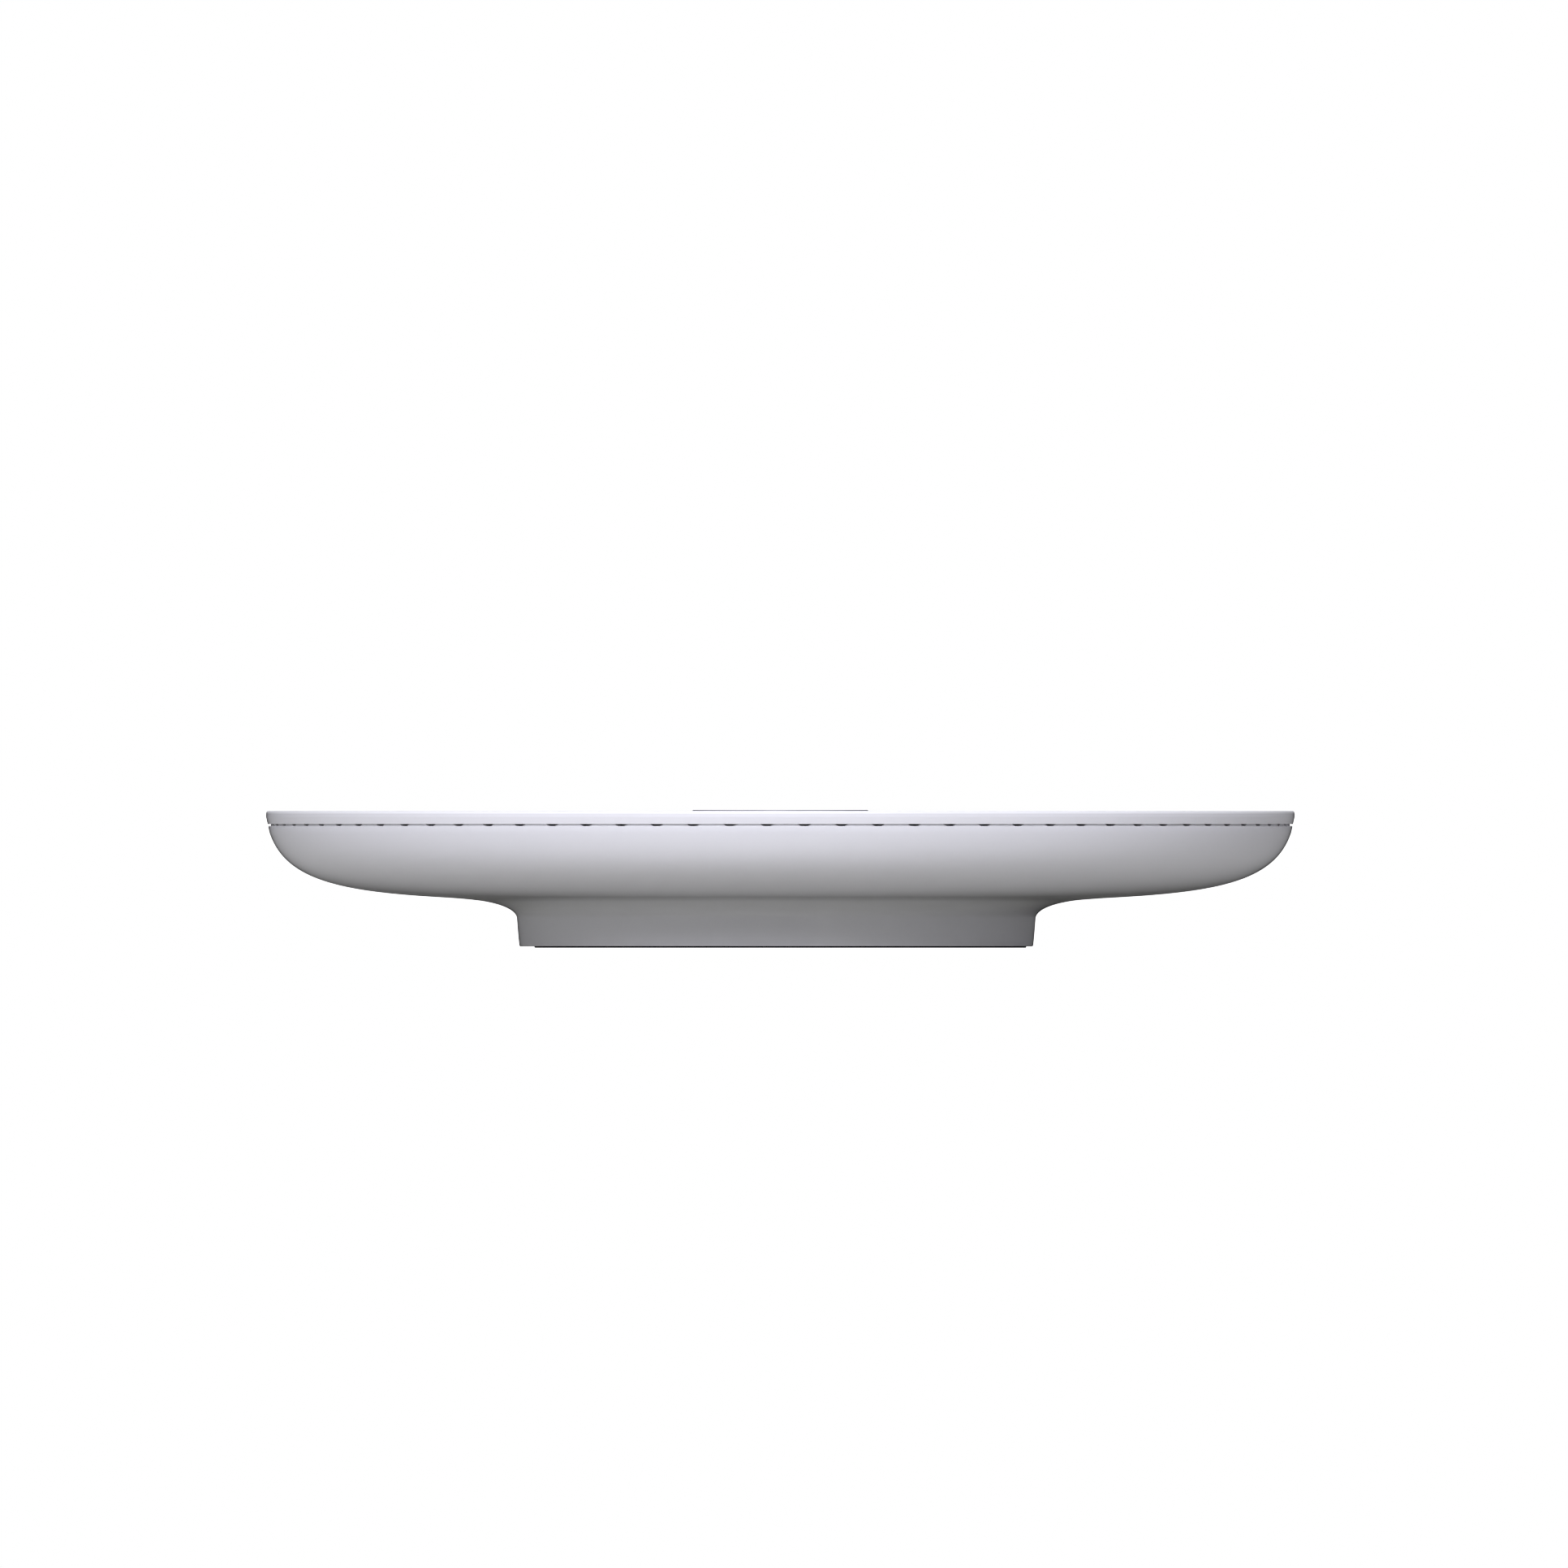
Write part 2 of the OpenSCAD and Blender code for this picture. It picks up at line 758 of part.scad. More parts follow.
mounting_plate();
latch_spring();
latch_pin();
latch_rivets();
bottom_housing();
vent_ring();
radome_cap();
indicator_lens();
light_guide();
bayonet_studs();
housing_screws();
rating_label();
main_pcb();
pcb_screws();
heat_spreader();
thermal_pads();
soc_chip();
memory_chips();
flash_chip();
radio_chips();
front_end_chips();
rf_shields();
antennas_low_band();
antennas_high_band();
antenna_supports();
rj45_shell();
rj45_body();
rj45_contacts();
lan_transformer();
poe_transformer();
power_inductors();
capacitors();
status_leds();
reset_switch();
reset_button();
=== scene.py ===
"""A round white access point on its black ceiling plate.

It lies face up about the vertical axis x = y = 0, with the plate at the bottom near z = 0. The camera
looks along +Y from the side. Lengths are in millimetres until a mesh, shader or light takes them.
"""
import json
from math import acos, atan2, cos, degrees, hypot, pi, radians, sin, sqrt, tan

import bmesh
import bpy
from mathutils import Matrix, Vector

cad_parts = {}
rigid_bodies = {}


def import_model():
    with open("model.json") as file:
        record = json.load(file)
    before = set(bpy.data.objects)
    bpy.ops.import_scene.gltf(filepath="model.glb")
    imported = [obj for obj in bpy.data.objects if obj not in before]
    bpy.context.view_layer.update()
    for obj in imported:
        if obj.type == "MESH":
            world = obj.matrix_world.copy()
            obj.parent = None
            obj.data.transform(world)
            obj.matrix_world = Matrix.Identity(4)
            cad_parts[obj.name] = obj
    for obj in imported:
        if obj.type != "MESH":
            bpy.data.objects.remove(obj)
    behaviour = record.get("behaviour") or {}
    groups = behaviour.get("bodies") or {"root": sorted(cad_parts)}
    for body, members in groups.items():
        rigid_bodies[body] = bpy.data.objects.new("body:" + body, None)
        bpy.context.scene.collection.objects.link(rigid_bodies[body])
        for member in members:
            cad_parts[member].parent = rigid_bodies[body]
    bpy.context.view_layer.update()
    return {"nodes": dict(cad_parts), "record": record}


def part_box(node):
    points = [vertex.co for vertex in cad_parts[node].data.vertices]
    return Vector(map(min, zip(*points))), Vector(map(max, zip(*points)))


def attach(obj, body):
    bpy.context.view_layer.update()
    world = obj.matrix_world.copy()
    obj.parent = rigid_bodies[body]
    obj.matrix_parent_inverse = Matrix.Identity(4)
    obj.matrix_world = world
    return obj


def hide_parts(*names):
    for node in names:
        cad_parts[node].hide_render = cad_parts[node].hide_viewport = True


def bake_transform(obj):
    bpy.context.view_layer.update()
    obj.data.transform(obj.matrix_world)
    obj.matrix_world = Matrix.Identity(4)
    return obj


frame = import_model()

MILLI = 0.001  # metres in a millimetre
SCENE = bpy.context.scene

# ------------------------------------------------------------------ dimensions


def corners(node):
    """Lowest and highest corner of a CAD node, in mm."""
    return [[c / MILLI for c in corner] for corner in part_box(node)]


def top_of(node):
    return corners(node)[1][2]


DISC_RADIUS = round(corners("radome_cap")[1][0], 1)
if abs(DISC_RADIUS - 110.0) < 0.3:
    DISC_RADIUS = 110.0  # the nominal radius, where the CAD mesh comes close to it
FACE_Z = top_of("radome_cap")
UNDER_Z = FACE_Z - 2.0  # underside of the cap's face
POCKET_Z = FACE_Z - 1.2  # bottom of the pocket for the indicator disc
SKIRT_Z = top_of("vent_ring")  # lower edge of the cap, top of the seam
RIM_Z = top_of("bottom_housing")  # upper edge of the housing, bottom of the seam

(LENS_LEFT, _, LENS_BOTTOM), (LENS_RIGHT, _, LENS_TOP) = corners("indicator_lens")
LENS_RADIUS = round((LENS_RIGHT - LENS_LEFT) / 2 * 20) / 20  # to the nearest 0.05

PLATE_RADIUS = 52.6
DECK_TOP = top_of("mounting_plate")
DECK_BOTTOM = DECK_TOP - 1.2
PAN_BOTTOM = 5.8  # the housing's flat floor
PAN_TOP = 7.4
FOOT_SHIFT = -0.87  # x of the foot's axis
FOOT_RADIUS = 55.2

# angles in degrees from +X, and the circles they are set out on
POSTS, POST_CIRCLE = [75, 195, 315], 46
STUDS, STUD_CIRCLE = [105, 225, 345], 40.0
BOSSES, BOSS_CIRCLE = [30, 120, 210, 300], 78
LONE_BOSS = (-8, -26)
TWIST = 18.0  # turn that locks the housing on the plate

# the latch is drawn along +Y beside the +X axis, then turned into place
LATCH_TURN = 45
LATCH_X = 40
PIN_AT = (LATCH_X, 8)
PIN_TOP = top_of("latch_pin")
RIVETS = [(LATCH_X + 2 * side, -10.5) for side in (-1, 1)]
LEAF_BOTTOM, LEAF_TOP = 1.4, 1.8

# ------------------------------------------------------------------ shapes: (vertices, faces)


def make_object(name, shape):
    """An object from a shape in mm, its faces turned outward."""
    verts, faces = shape
    mesh = bpy.data.meshes.new(name)
    mesh.from_pydata([(x * MILLI, y * MILLI, z * MILLI) for x, y, z in verts], [], faces)
    mesh.update()
    edit = bmesh.new()
    edit.from_mesh(mesh)
    bmesh.ops.recalc_face_normals(edit, faces=edit.faces)
    edit.to_mesh(mesh)
    edit.free()
    piece = bpy.data.objects.new(name, mesh)
    SCENE.collection.objects.link(piece)
    return piece


def heading(start, end):
    return Vector((end[0] - start[0], end[1] - start[1])).normalized()


def rounded(points, steps=5):
    """Closed (radius, z) outline; a point's third value is the radius that rounds its corner."""
    outline = []
    for i, point in enumerate(points):
        if len(point) < 3:
            outline.append((point[0], point[1]))
            continue
        corner, fillet = Vector(point[:2]), point[2]
        back = heading(point, points[i - 1])
        ahead = heading(point, points[(i + 1) % len(points)])
        half = back.angle(ahead) / 2
        reach = fillet / tan(half)
        centre = corner + (back + ahead).normalized() * (fillet / sin(half))
        first = corner + back * reach - centre
        last = corner + ahead * reach - centre
        sweep = atan2(first.x * last.y - first.y * last.x, first.dot(last))
        for k in range(steps + 1):
            angle = sweep * k / steps
            outline.append((
                centre.x + first.x * cos(angle) - first.y * sin(angle),
                centre.y + first.x * sin(angle) + first.y * cos(angle),
            ))
    return outline


def revolve(profile, sides, at=(0.0, 0.0)):
    """A closed profile of (radius, z) turned about the vertical through at.

    A point's third value, if any, shifts its ring along X."""
    verts, rings, faces = [], [], []
    for radius, z, *shift in profile:
        x = at[0] + sum(shift)
        if radius < 1e-6:
            rings.append([len(verts)])
            verts.append((x, at[1], z))
            continue
        rings.append(list(range(len(verts), len(verts) + sides)))
        for k in range(sides):
            angle = 2 * pi * k / sides
            verts.append((x + radius * cos(angle), at[1] + radius * sin(angle), z))
    for i, ring in enumerate(rings):
        following = rings[(i + 1) % len(rings)]
        if len(ring) == 1 and len(following) == 1:
            continue
        for k in range(sides):
            j = (k + 1) % sides
            if len(ring) == 1:
                faces.append((ring[0], following[j], following[k]))
            elif len(following) == 1:
                faces.append((ring[k], ring[j], following[0]))
            else:
                faces.append((ring[k], ring[j], following[j], following[k]))
    return verts, faces


def prism(outline, z):
    """An (x, y) outline raised over the span z = (bottom, top)."""
    n = len(outline)
    verts = [(x, y, level) for level in z for x, y in outline]
    faces = [tuple(range(n - 1, -1, -1)), tuple(range(n, 2 * n))]
    faces += [(k, (k + 1) % n, n + (k + 1) % n, n + k) for k in range(n)]
    return verts, faces


def block(x, y, z):
    return prism([(x[0], y[0]), (x[1], y[0]), (x[1], y[1]), (x[0], y[1])], z)


def rod(at, radius, z, sides):
    angles = [2 * pi * k / sides for k in range(sides)]
    return prism([(at[0] + radius * cos(a), at[1] + radius * sin(a)) for a in angles], z)


def polar(angle, radius):
    return radius * cos(radians(angle)), radius * sin(radians(angle))


def rods(angles, circle, **size):
    """Equal rods, one at each angle on a circle."""
    return [rod(polar(angle, circle), **size) for angle in angles]


def arc(centre, radius, start, end, steps):
    points = [polar(start + (end - start) * k / steps, radius) for k in range(steps + 1)]
    return [(centre[0] + x, centre[1] + y) for x, y in points]


def slot(start, end, radius, z, steps=24):
    """A straight slot with round ends, from one end's centre to the other's."""
    along = degrees(atan2(end[1] - start[1], end[0] - start[0]))
    outline = arc(end, radius, along - 90, along + 90, steps)
    return prism(outline + arc(start, radius, along + 90, along + 270, steps), z)


def spin(point, angle):
    """The point turned about the vertical axis."""
    x, y, *rest = point
    cosine, sine = cos(radians(angle)), sin(radians(angle))
    return (x * cosine - y * sine, x * sine + y * cosine, *rest)


def turned(shape, angle):
    return [spin(point, angle) for point in shape[0]], shape[1]


def joined(shapes):
    verts, faces = [], []
    for more_verts, more_faces in shapes:
        first = len(verts)
        verts += more_verts
        faces += [tuple(i + first for i in face) for face in more_faces]
    return verts, faces


def bezier(points, t):
    weights = ((1 - t) ** 3, 3 * (1 - t) ** 2 * t, 3 * (1 - t) * t * t, t**3)
    return tuple(sum(w * p[axis] for w, p in zip(weights, points)) for axis in (0, 1))


def bezier_inset(points, t, inset):
    """A point of the curve, moved off it square to its direction."""
    weights = (3 * (1 - t) ** 2, 6 * (1 - t) * t, 3 * t * t)
    slope_x, slope_z = (
        sum(w * (q[axis] - p[axis]) for w, p, q in zip(weights, points, points[1:]))
        for axis in (0, 1)
    )
    length = hypot(slope_x, slope_z)
    x, z = bezier(points, t)
    return x + inset * slope_z / length, z - inset * slope_x / length


def smoothstep(t):
    return t * t * (3 - 2 * t)


# ------------------------------------------------------------------ mesh edits


def evaluated_mesh(piece):
    graph = bpy.context.evaluated_depsgraph_get()
    return bpy.data.meshes.new_from_object(piece.evaluated_get(graph))


def replace_mesh(piece, mesh):
    piece.modifiers.clear()
    old, piece.data = piece.data, mesh
    bpy.data.meshes.remove(old)


def boolean(piece, shapes, operation):
    """Cuts the joined shapes from the piece or adds them to it."""
    cutter = make_object("cutter", joined(shapes))
    modifier = piece.modifiers.new("cut", "BOOLEAN")
    modifier.operation = operation
    modifier.object = cutter
    modifier.solver = "MANIFOLD"
    mesh = evaluated_mesh(piece)
    if len(mesh.polygons) < 4:
        # the fast solver gives nothing where a mesh isn't watertight
        modifier.solver = "EXACT"
        mesh = evaluated_mesh(piece)
    replace_mesh(piece, mesh)
    cutter_mesh = cutter.data
    bpy.data.objects.remove(cutter)
    bpy.data.meshes.remove(cutter_mesh)


def tidy(piece, crease=31.0, merge=2e-7):
    """Merges doubles (merge is in metres) and shades smooth except at creases (degrees)."""
    edit = bmesh.new()
    edit.from_mesh(piece.data)
    bmesh.ops.remove_doubles(edit, verts=edit.verts, dist=merge)
    bmesh.ops.dissolve_degenerate(edit, dist=merge, edges=edit.edges)
    for face in edit.faces:
        face.smooth = True
    for edge in edit.edges:
        edge.smooth = len(edge.link_faces) == 2 and edge.calc_face_angle(0.0) < radians(crease)
    edit.to_mesh(piece.data)
    edit.free()


def bevel(piece, width, angle):
    modifier = piece.modifiers.new("edges", "BEVEL")
    modifier.width = width * MILLI
    modifier.segments = 2
    modifier.limit_method = "ANGLE"
    modifier.angle_limit = radians(angle)
    modifier.use_clamp_overlap = True
    replace_mesh(piece, evaluated_mesh(piece))


# ------------------------------------------------------------------ shader tools


def add_node(tree, kind, inputs=None, **settings):
    """A shader node; inputs gives each socket a value or the output that drives it."""
    node = tree.nodes.new("ShaderNode" + kind)
    for key, setting in settings.items():
        setattr(node, key, setting)
    for key, source in (inputs or {}).items():
        feed(tree, node.inputs[key], source)
    return node


def feed(tree, socket, source):
    if isinstance(source, bpy.types.NodeSocket):
        tree.links.new(source, socket)
    else:
        socket.default_value = source


def shade(color, gain, lift=0.0):
    return [min(1.0, c * gain + lift) for c in color]


MATERIALS = {}


class Surface:
    """A material under construction: a Principled surface and short ways to add to it."""

    def __init__(self, name, color, rough, metallic=0.0, specular=0.5):
        material = bpy.data.materials.new(name)
        MATERIALS[name] = material
        material.use_nodes = True
        self.tree = material.node_tree
        self.tree.nodes.clear()
        self.out = self.node("OutputMaterial")
        self.color = (*color, 1)
        self.bsdf = self.node("BsdfPrincipled", {
            "Base Color": self.color, "Roughness": rough, "Metallic": metallic,
            "Specular IOR Level": specular,
        })
        feed(self.tree, self.out.inputs[0], self.bsdf.outputs[0])
        material.diffuse_color = self.color
        self.coord = self.node("TexCoord").outputs["Object"]
        self.normal = None

    def node(self, kind, inputs=None, **settings):
        return add_node(self.tree, kind, inputs, **settings)

    def put(self, socket, source):
        feed(self.tree, self.bsdf.inputs[socket], source)

    def calc(self, operation, *terms, clamp=False):
        inputs = dict(enumerate(terms))
        return self.node("Math", inputs, operation=operation, use_clamp=clamp).outputs[0]

    def axes(self, vector):
        return self.node("SeparateXYZ", {0: vector}).outputs

    def noise(self, scale, detail=2.0, rough=0.5, vector=None):
        return self.node("TexNoise", {
            "Scale": scale, "Detail": detail, "Roughness": rough, "Vector": vector or self.coord,
        }).outputs["Fac"]

    def voronoi(self, scale, feature="F1", distance="EUCLIDEAN"):
        inputs = {"Scale": scale, "Vector": self.coord}
        node = self.node("TexVoronoi", inputs, feature=feature, distance=distance)
        return node.outputs["Distance"]

    def ramp(self, source, over, to=(0.0, 1.0)):
        """Maps the range over to the range to, held at its ends."""
        return self.node("MapRange", {
            "From Min": over[0], "From Max": over[1], "To Min": to[0], "To Max": to[1],
            "Value": source,
        }).outputs[0]

    def tint(self, amount, color, over=None, peak=1.0):
        """Mixes color over what the surface has so far.

        With over, the amount first rises from 0 to peak across that range."""
        if over:
            amount = self.ramp(amount, over, to=(0.0, peak))
        inputs = {"Factor": amount, 6: self.color, 7: (*color, 1)}
        self.color = self.node("Mix", inputs, data_type="RGBA").outputs[2]
        self.put("Base Color", self.color)

    def bump(self, height, strength, depth):
        inputs = {"Strength": strength, "Distance": depth * MILLI, "Height": height}
        if self.normal is not None:
            inputs["Normal"] = self.normal
        self.normal = self.node("Bump", inputs).outputs[0]
        self.put("Normal", self.normal)

    def edges(self, radius, over=(0.02, 0.25)):
        """Nearness to an edge, 0 to 1, from the angle between true and rounded normal."""
        soft_normal = self.node("Bevel", {"Radius": radius * MILLI}, samples=4).outputs[0]
        normal = self.node("NewGeometry").outputs["Normal"]
        dot = self.node("VectorMath", {0: soft_normal, 1: normal}, operation="DOT_PRODUCT")
        return self.ramp(self.calc("SUBTRACT", 1.0, dot.outputs["Value"]), over)


# ------------------------------------------------------------------ materials


def moulded(name, color, rough, grain, depth, painted_highlight_above=None, painted_seam_shade_above=None):
    """Injection-moulded plastic: fine grain that holds dust, faint flow shading, polished edges.

    grain and depth: size and relief of the grain in mm.
    painted_highlight_above: height above which the side is painted lighter, a painted highlight under
    the top edge.
    painted_seam_shade_above: height above which the surface is painted darker, painted shade at the
    bottom of the seam."""
    skin = Surface(name, color, rough, specular=0.42)
    cloud = skin.noise(scale=14, detail=3, rough=0.55)
    fine = skin.noise(scale=1000 / grain, rough=0.6)
    cells = skin.voronoi(scale=1000 / (grain * 1.7))
    skin.tint(cloud, shade(color, gain=0.975), over=(0.35, 0.75), peak=0.35)
    skin.tint(fine, shade(color, gain=0.80), over=(0.5, 0.8), peak=0.06)
    upward = skin.axes(skin.node("NewGeometry").outputs["Normal"])[2]
    # painted highlight: the side is coloured lighter just under the top edge
    if painted_highlight_above is not None:
        height = skin.axes(skin.coord)[2]
        band = skin.ramp(height, over=((painted_highlight_above - 0.25) * MILLI, painted_highlight_above * MILLI))
        side = skin.ramp(upward, over=(0.75, 0.97), to=(1.0, 0.0))
        skin.tint(skin.calc("MULTIPLY", band, side), color=(0.995, 0.995, 1.0))
    # painted shade: the surface is coloured darker above this height, in the seam
    if painted_seam_shade_above is not None:
        height = skin.axes(skin.coord)[2]
        band = (painted_seam_shade_above * MILLI, (painted_seam_shade_above + 0.02) * MILLI)
        skin.tint(height, shade(color, gain=0.87), over=band)

    polish = 0.08  # roughness lost at worn edges
    smoothest = 0.08
    uneven = skin.calc(
        "ADD",
        skin.ramp(fine, over=(0.2, 0.8), to=(-0.05, 0.06)),
        skin.ramp(cloud, over=(0.3, 0.7), to=(-0.03, 0.03)),
    )
    uneven = skin.calc("ADD", uneven, rough)
    wear = skin.edges(radius=0.35, over=(0.01, 0.2))
    uneven = skin.calc("SUBTRACT", uneven, skin.calc("MULTIPLY", wear, polish))
    skin.put("Roughness", skin.calc("MAXIMUM", uneven, smoothest))

    # painted shade: the colour is darkened at a glancing view, toward the outline, but not where the
    # surface turns up
    falloff = 0.055  # how fast the darkening dies away from the outline
    graze = 2.1  # its strength before it is held at 1
    facing = skin.node("LayerWeight", {"Blend": 0.5}).outputs["Facing"]
    glancing_shade = skin.calc("DIVIDE", skin.calc("SUBTRACT", facing, 1.0), falloff)
    glancing_shade = skin.calc("MULTIPLY", skin.calc("EXPONENT", glancing_shade), graze)
    level = skin.calc(
        "MULTIPLY",
        skin.ramp(upward, over=(0.05, 0.45), to=(1.0, 0.0)),
        skin.ramp(upward, over=(-0.995, -0.85), to=(0.6, 1.0)),
    )
    glancing_shade = skin.calc("MULTIPLY", skin.calc("MINIMUM", glancing_shade, 1.0), level)
    skin.tint(glancing_shade, shade(color, gain=0.1))
    skin.bump(fine, strength=0.35, depth=depth)
    skin.bump(cells, strength=0.2, depth=depth * 0.7)


def powder_coat(name, color):
    """Fine-textured powder coat on sheet steel, rubbed to the metal at its sharpest edges."""
    coat = Surface(name, color, rough=0.52, specular=0.45)
    peel = coat.noise(scale=2600)
    grit = coat.noise(scale=9000, detail=1)
    cloud = coat.noise(scale=30, detail=3, rough=0.6)
    coat.tint(cloud, shade(color, gain=1.5, lift=0.004), over=(0.4, 0.8), peak=0.5)
    spots = coat.ramp(coat.noise(scale=420, detail=4, rough=0.7), over=(0.52, 0.6))
    wear = coat.calc("MULTIPLY", coat.edges(radius=0.22, over=(0.06, 0.3)), spots)
    bare_tint, bare_metal = 0.55, 0.8  # share of bare steel's colour and shine where worn
    coat.tint(coat.calc("MULTIPLY", wear, bare_tint), color=(0.33, 0.33, 0.34))
    coat.put("Metallic", coat.calc("MULTIPLY", wear, bare_metal))
    coat.put("Roughness", coat.calc(
        "ADD",
        coat.ramp(peel, over=(0.3, 0.7), to=(0.46, 0.6)),
        coat.ramp(cloud, over=(0.3, 0.7), to=(-0.03, 0.03)),
    ))
    coat.bump(peel, strength=0.5, depth=0.03)
    coat.bump(grit, strength=0.3, depth=0.01)


def metal(name, color, rough, scale, grain=(1, 1, 1), depth=0.006, stain=(0.8, 0.78, 0.7)):
    """Plated or bright metal: grain stretched per axis, cloudy stain, lighter rubbed edges."""
    plating = Surface(name, color, rough, metallic=1.0)
    cloud = plating.noise(scale=120, detail=4, rough=0.6)
    stretched = plating.node("Mapping", {"Scale": grain, "Vector": plating.coord}).outputs[0]
    lines = plating.noise(scale, detail=3, rough=0.6, vector=stretched)
    stained = [a * b for a, b in zip(color, stain)]
    plating.tint(cloud, stained, over=(0.45, 0.75), peak=0.3)
    plating.tint(lines, shade(color, gain=0.7), over=(0.45, 0.7), peak=0.18)
    rubbed = 0.5  # share of the lighter colour at the edges
    edges = plating.edges(radius=0.18, over=(0.04, 0.3))
    plating.tint(plating.calc("MULTIPLY", edges, rubbed), shade(color, gain=1.2))
    plating.put("Roughness", plating.calc(
        "ADD",
        plating.ramp(lines, over=(0.3, 0.7), to=(rough - 0.06, rough + 0.08)),
        plating.ramp(cloud, over=(0.3, 0.7), to=(-0.03, 0.05)),
    ))
    plating.bump(lines, strength=0.4, depth=depth)


def board(name):
    """Solder mask over copper: pour edges, tracks and plated pads."""
    mask = Surface(name, color=(0.012, 0.11, 0.045), rough=0.32)
    weave = mask.noise(scale=2600)
    pour = mask.voronoi(scale=240, distance="CHEBYCHEV")
    tracks = mask.voronoi(scale=620, feature="DISTANCE_TO_EDGE")
    pads = mask.voronoi(scale=430)
    mask.tint(pour, color=(0.02, 0.17, 0.07), over=(0.42, 0.45), peak=0.75)
    mask.tint(tracks, color=(0.03, 0.24, 0.10), over=(0.045, 0.03), peak=0.8)
    pad = mask.ramp(pads, over=(0.13, 0.11))
    mask.tint(pad, color=(0.72, 0.5, 0.2))
    pad_metal = 0.9
    mask.put("Metallic", mask.calc("MULTIPLY", pad, pad_metal))
    mask.put("Roughness", mask.ramp(weave, over=(0.3, 0.7), to=(0.26, 0.38)))
    mask.bump(mask.ramp(tracks, over=(0.06, 0.02)), strength=0.4, depth=0.02)
    mask.bump(weave, strength=0.15, depth=0.005)


def package(name, color, rough):
    """Moulded electronic package: matte compound, faint flow lines, lighter worn edges."""
    resin = Surface(name, color, rough, specular=0.4)
    fine = resin.noise(scale=5200, detail=3, rough=0.65)
    cloud = resin.noise(scale=160, detail=3, rough=0.6)
    resin.tint(cloud, shade(color, gain=1.35, lift=0.006), over=(0.4, 0.8), peak=0.5)
    resin.tint(fine, shade(color, gain=1.9, lift=0.01), over=(0.55, 0.8), peak=0.4)
    worn = 0.5  # share of the lighter colour at the edges
    wear = resin.calc("MULTIPLY", resin.edges(radius=0.15), worn)
    resin.tint(wear, shade(color, gain=2.4, lift=0.02))
    resin.put("Roughness", resin.ramp(fine, over=(0.3, 0.7), to=(rough - 0.08, rough + 0.1)))
    resin.bump(fine, strength=0.4, depth=0.01)


def soft(name, color, rough, scale):
    """Silicone pad or label stock: fibrous or rubbery grain."""
    stock = Surface(name, color, rough, specular=0.3)
    fine = stock.noise(scale, detail=4, rough=0.65)
    cloud = stock.noise(scale=90, detail=3, rough=0.6)
    stock.tint(cloud, shade(color, gain=0.9), over=(0.4, 0.8), peak=0.4)
    stock.tint(fine, shade(color, gain=0.85), over=(0.5, 0.75), peak=0.25)
    stock.put("Roughness", stock.ramp(fine, over=(0.3, 0.7), to=(rough - 0.06, rough + 0.08)))
    stock.bump(fine, strength=0.3, depth=0.01)


def satin_disc(name, color):
    """The indicator disc: satin resin with turned rings that only soften the shine."""
    pitch = 0.45  # mm from ring to ring
    satin = Surface(name, color, rough=0.34)
    x, y, _ = satin.axes(satin.coord)
    squares = [satin.calc("MULTIPLY", axis, axis) for axis in (x, y)]
    radius = satin.calc("SQRT", satin.calc("ADD", *squares))
    rings = satin.calc("SINE", satin.calc("MULTIPLY", radius, 2 * pi / (pitch * MILLI)))
    cloud = satin.noise(scale=60, detail=3, rough=0.6)
    fine = satin.noise(scale=3000, rough=0.6)
    satin.tint(cloud, shade(color, gain=0.95), over=(0.35, 0.75), peak=0.4)
    # darker outer edge; the range is a radius in metres
    satin.tint(radius, shade(color, gain=0.72), over=(0.0185, 0.0188), peak=0.35)
    satin.put("Roughness", satin.calc(
        "ADD",
        satin.ramp(rings, over=(-1, 1), to=(0.30, 0.36)),
        satin.ramp(fine, over=(0.3, 0.7), to=(-0.02, 0.03)),
    ))
    satin.bump(rings, strength=0.08, depth=0.004)
    satin.bump(fine, strength=0.2, depth=0.006)
    satin.put("Coat Weight", 0.15)
    satin.put("Coat Roughness", 0.2)


def clear(name, color):
    resin = Surface(name, color, rough=0.16)
    fine = resin.noise(scale=1400, rough=0.6)
    cloud = resin.noise(scale=80, detail=3, rough=0.6)
    resin.tint(cloud, shade(color, gain=0.94), over=(0.35, 0.75), peak=0.4)
    resin.put("Roughness", resin.ramp(fine, over=(0.3, 0.7), to=(0.12, 0.24)))
    resin.bump(fine, strength=0.2, depth=0.008)
    resin.put("Transmission Weight", 0.55)
    resin.put("IOR", 1.49)


# painted highlight on the cap's side just under its top edge
moulded("white_cap", color=(0.885, 0.885, 0.895), rough=0.44, grain=0.34, depth=0.008,
        painted_highlight_above=28.75)
# painted shade on the shell in the seam
moulded("white_shell", color=(0.832, 0.832, 0.843), rough=0.46, grain=0.36, depth=0.010,
        painted_seam_shade_above=26.02)
satin_disc("lens", color=(0.40, 0.40, 0.415))
powder_coat("black_plate", color=(0.012, 0.012, 0.014))
metal("spring_steel", color=(0.60, 0.61, 0.63), rough=0.24, scale=900, grain=(1, 9, 1))
metal("zinc_steel", color=(0.70, 0.72, 0.75), rough=0.30, scale=2600, depth=0.005,
      stain=(0.9, 0.86, 0.72))
metal("tin_plate", color=(0.74, 0.74, 0.73), rough=0.28, scale=1500, grain=(1, 1, 6))
metal("aluminium", color=(0.72, 0.73, 0.74), rough=0.42, scale=1400, depth=0.02)
metal("gold_plate", color=(0.86, 0.62, 0.24), rough=0.2, scale=1200, grain=(8, 1, 1))
board("pcb")
package("chip_black", color=(0.018, 0.018, 0.02), rough=0.55)
package("black_plastic", color=(0.022, 0.022, 0.025), rough=0.42)
package("ferrite", color=(0.05, 0.048, 0.046), rough=0.6)
package("sleeve", color=(0.03, 0.035, 0.06), rough=0.3)
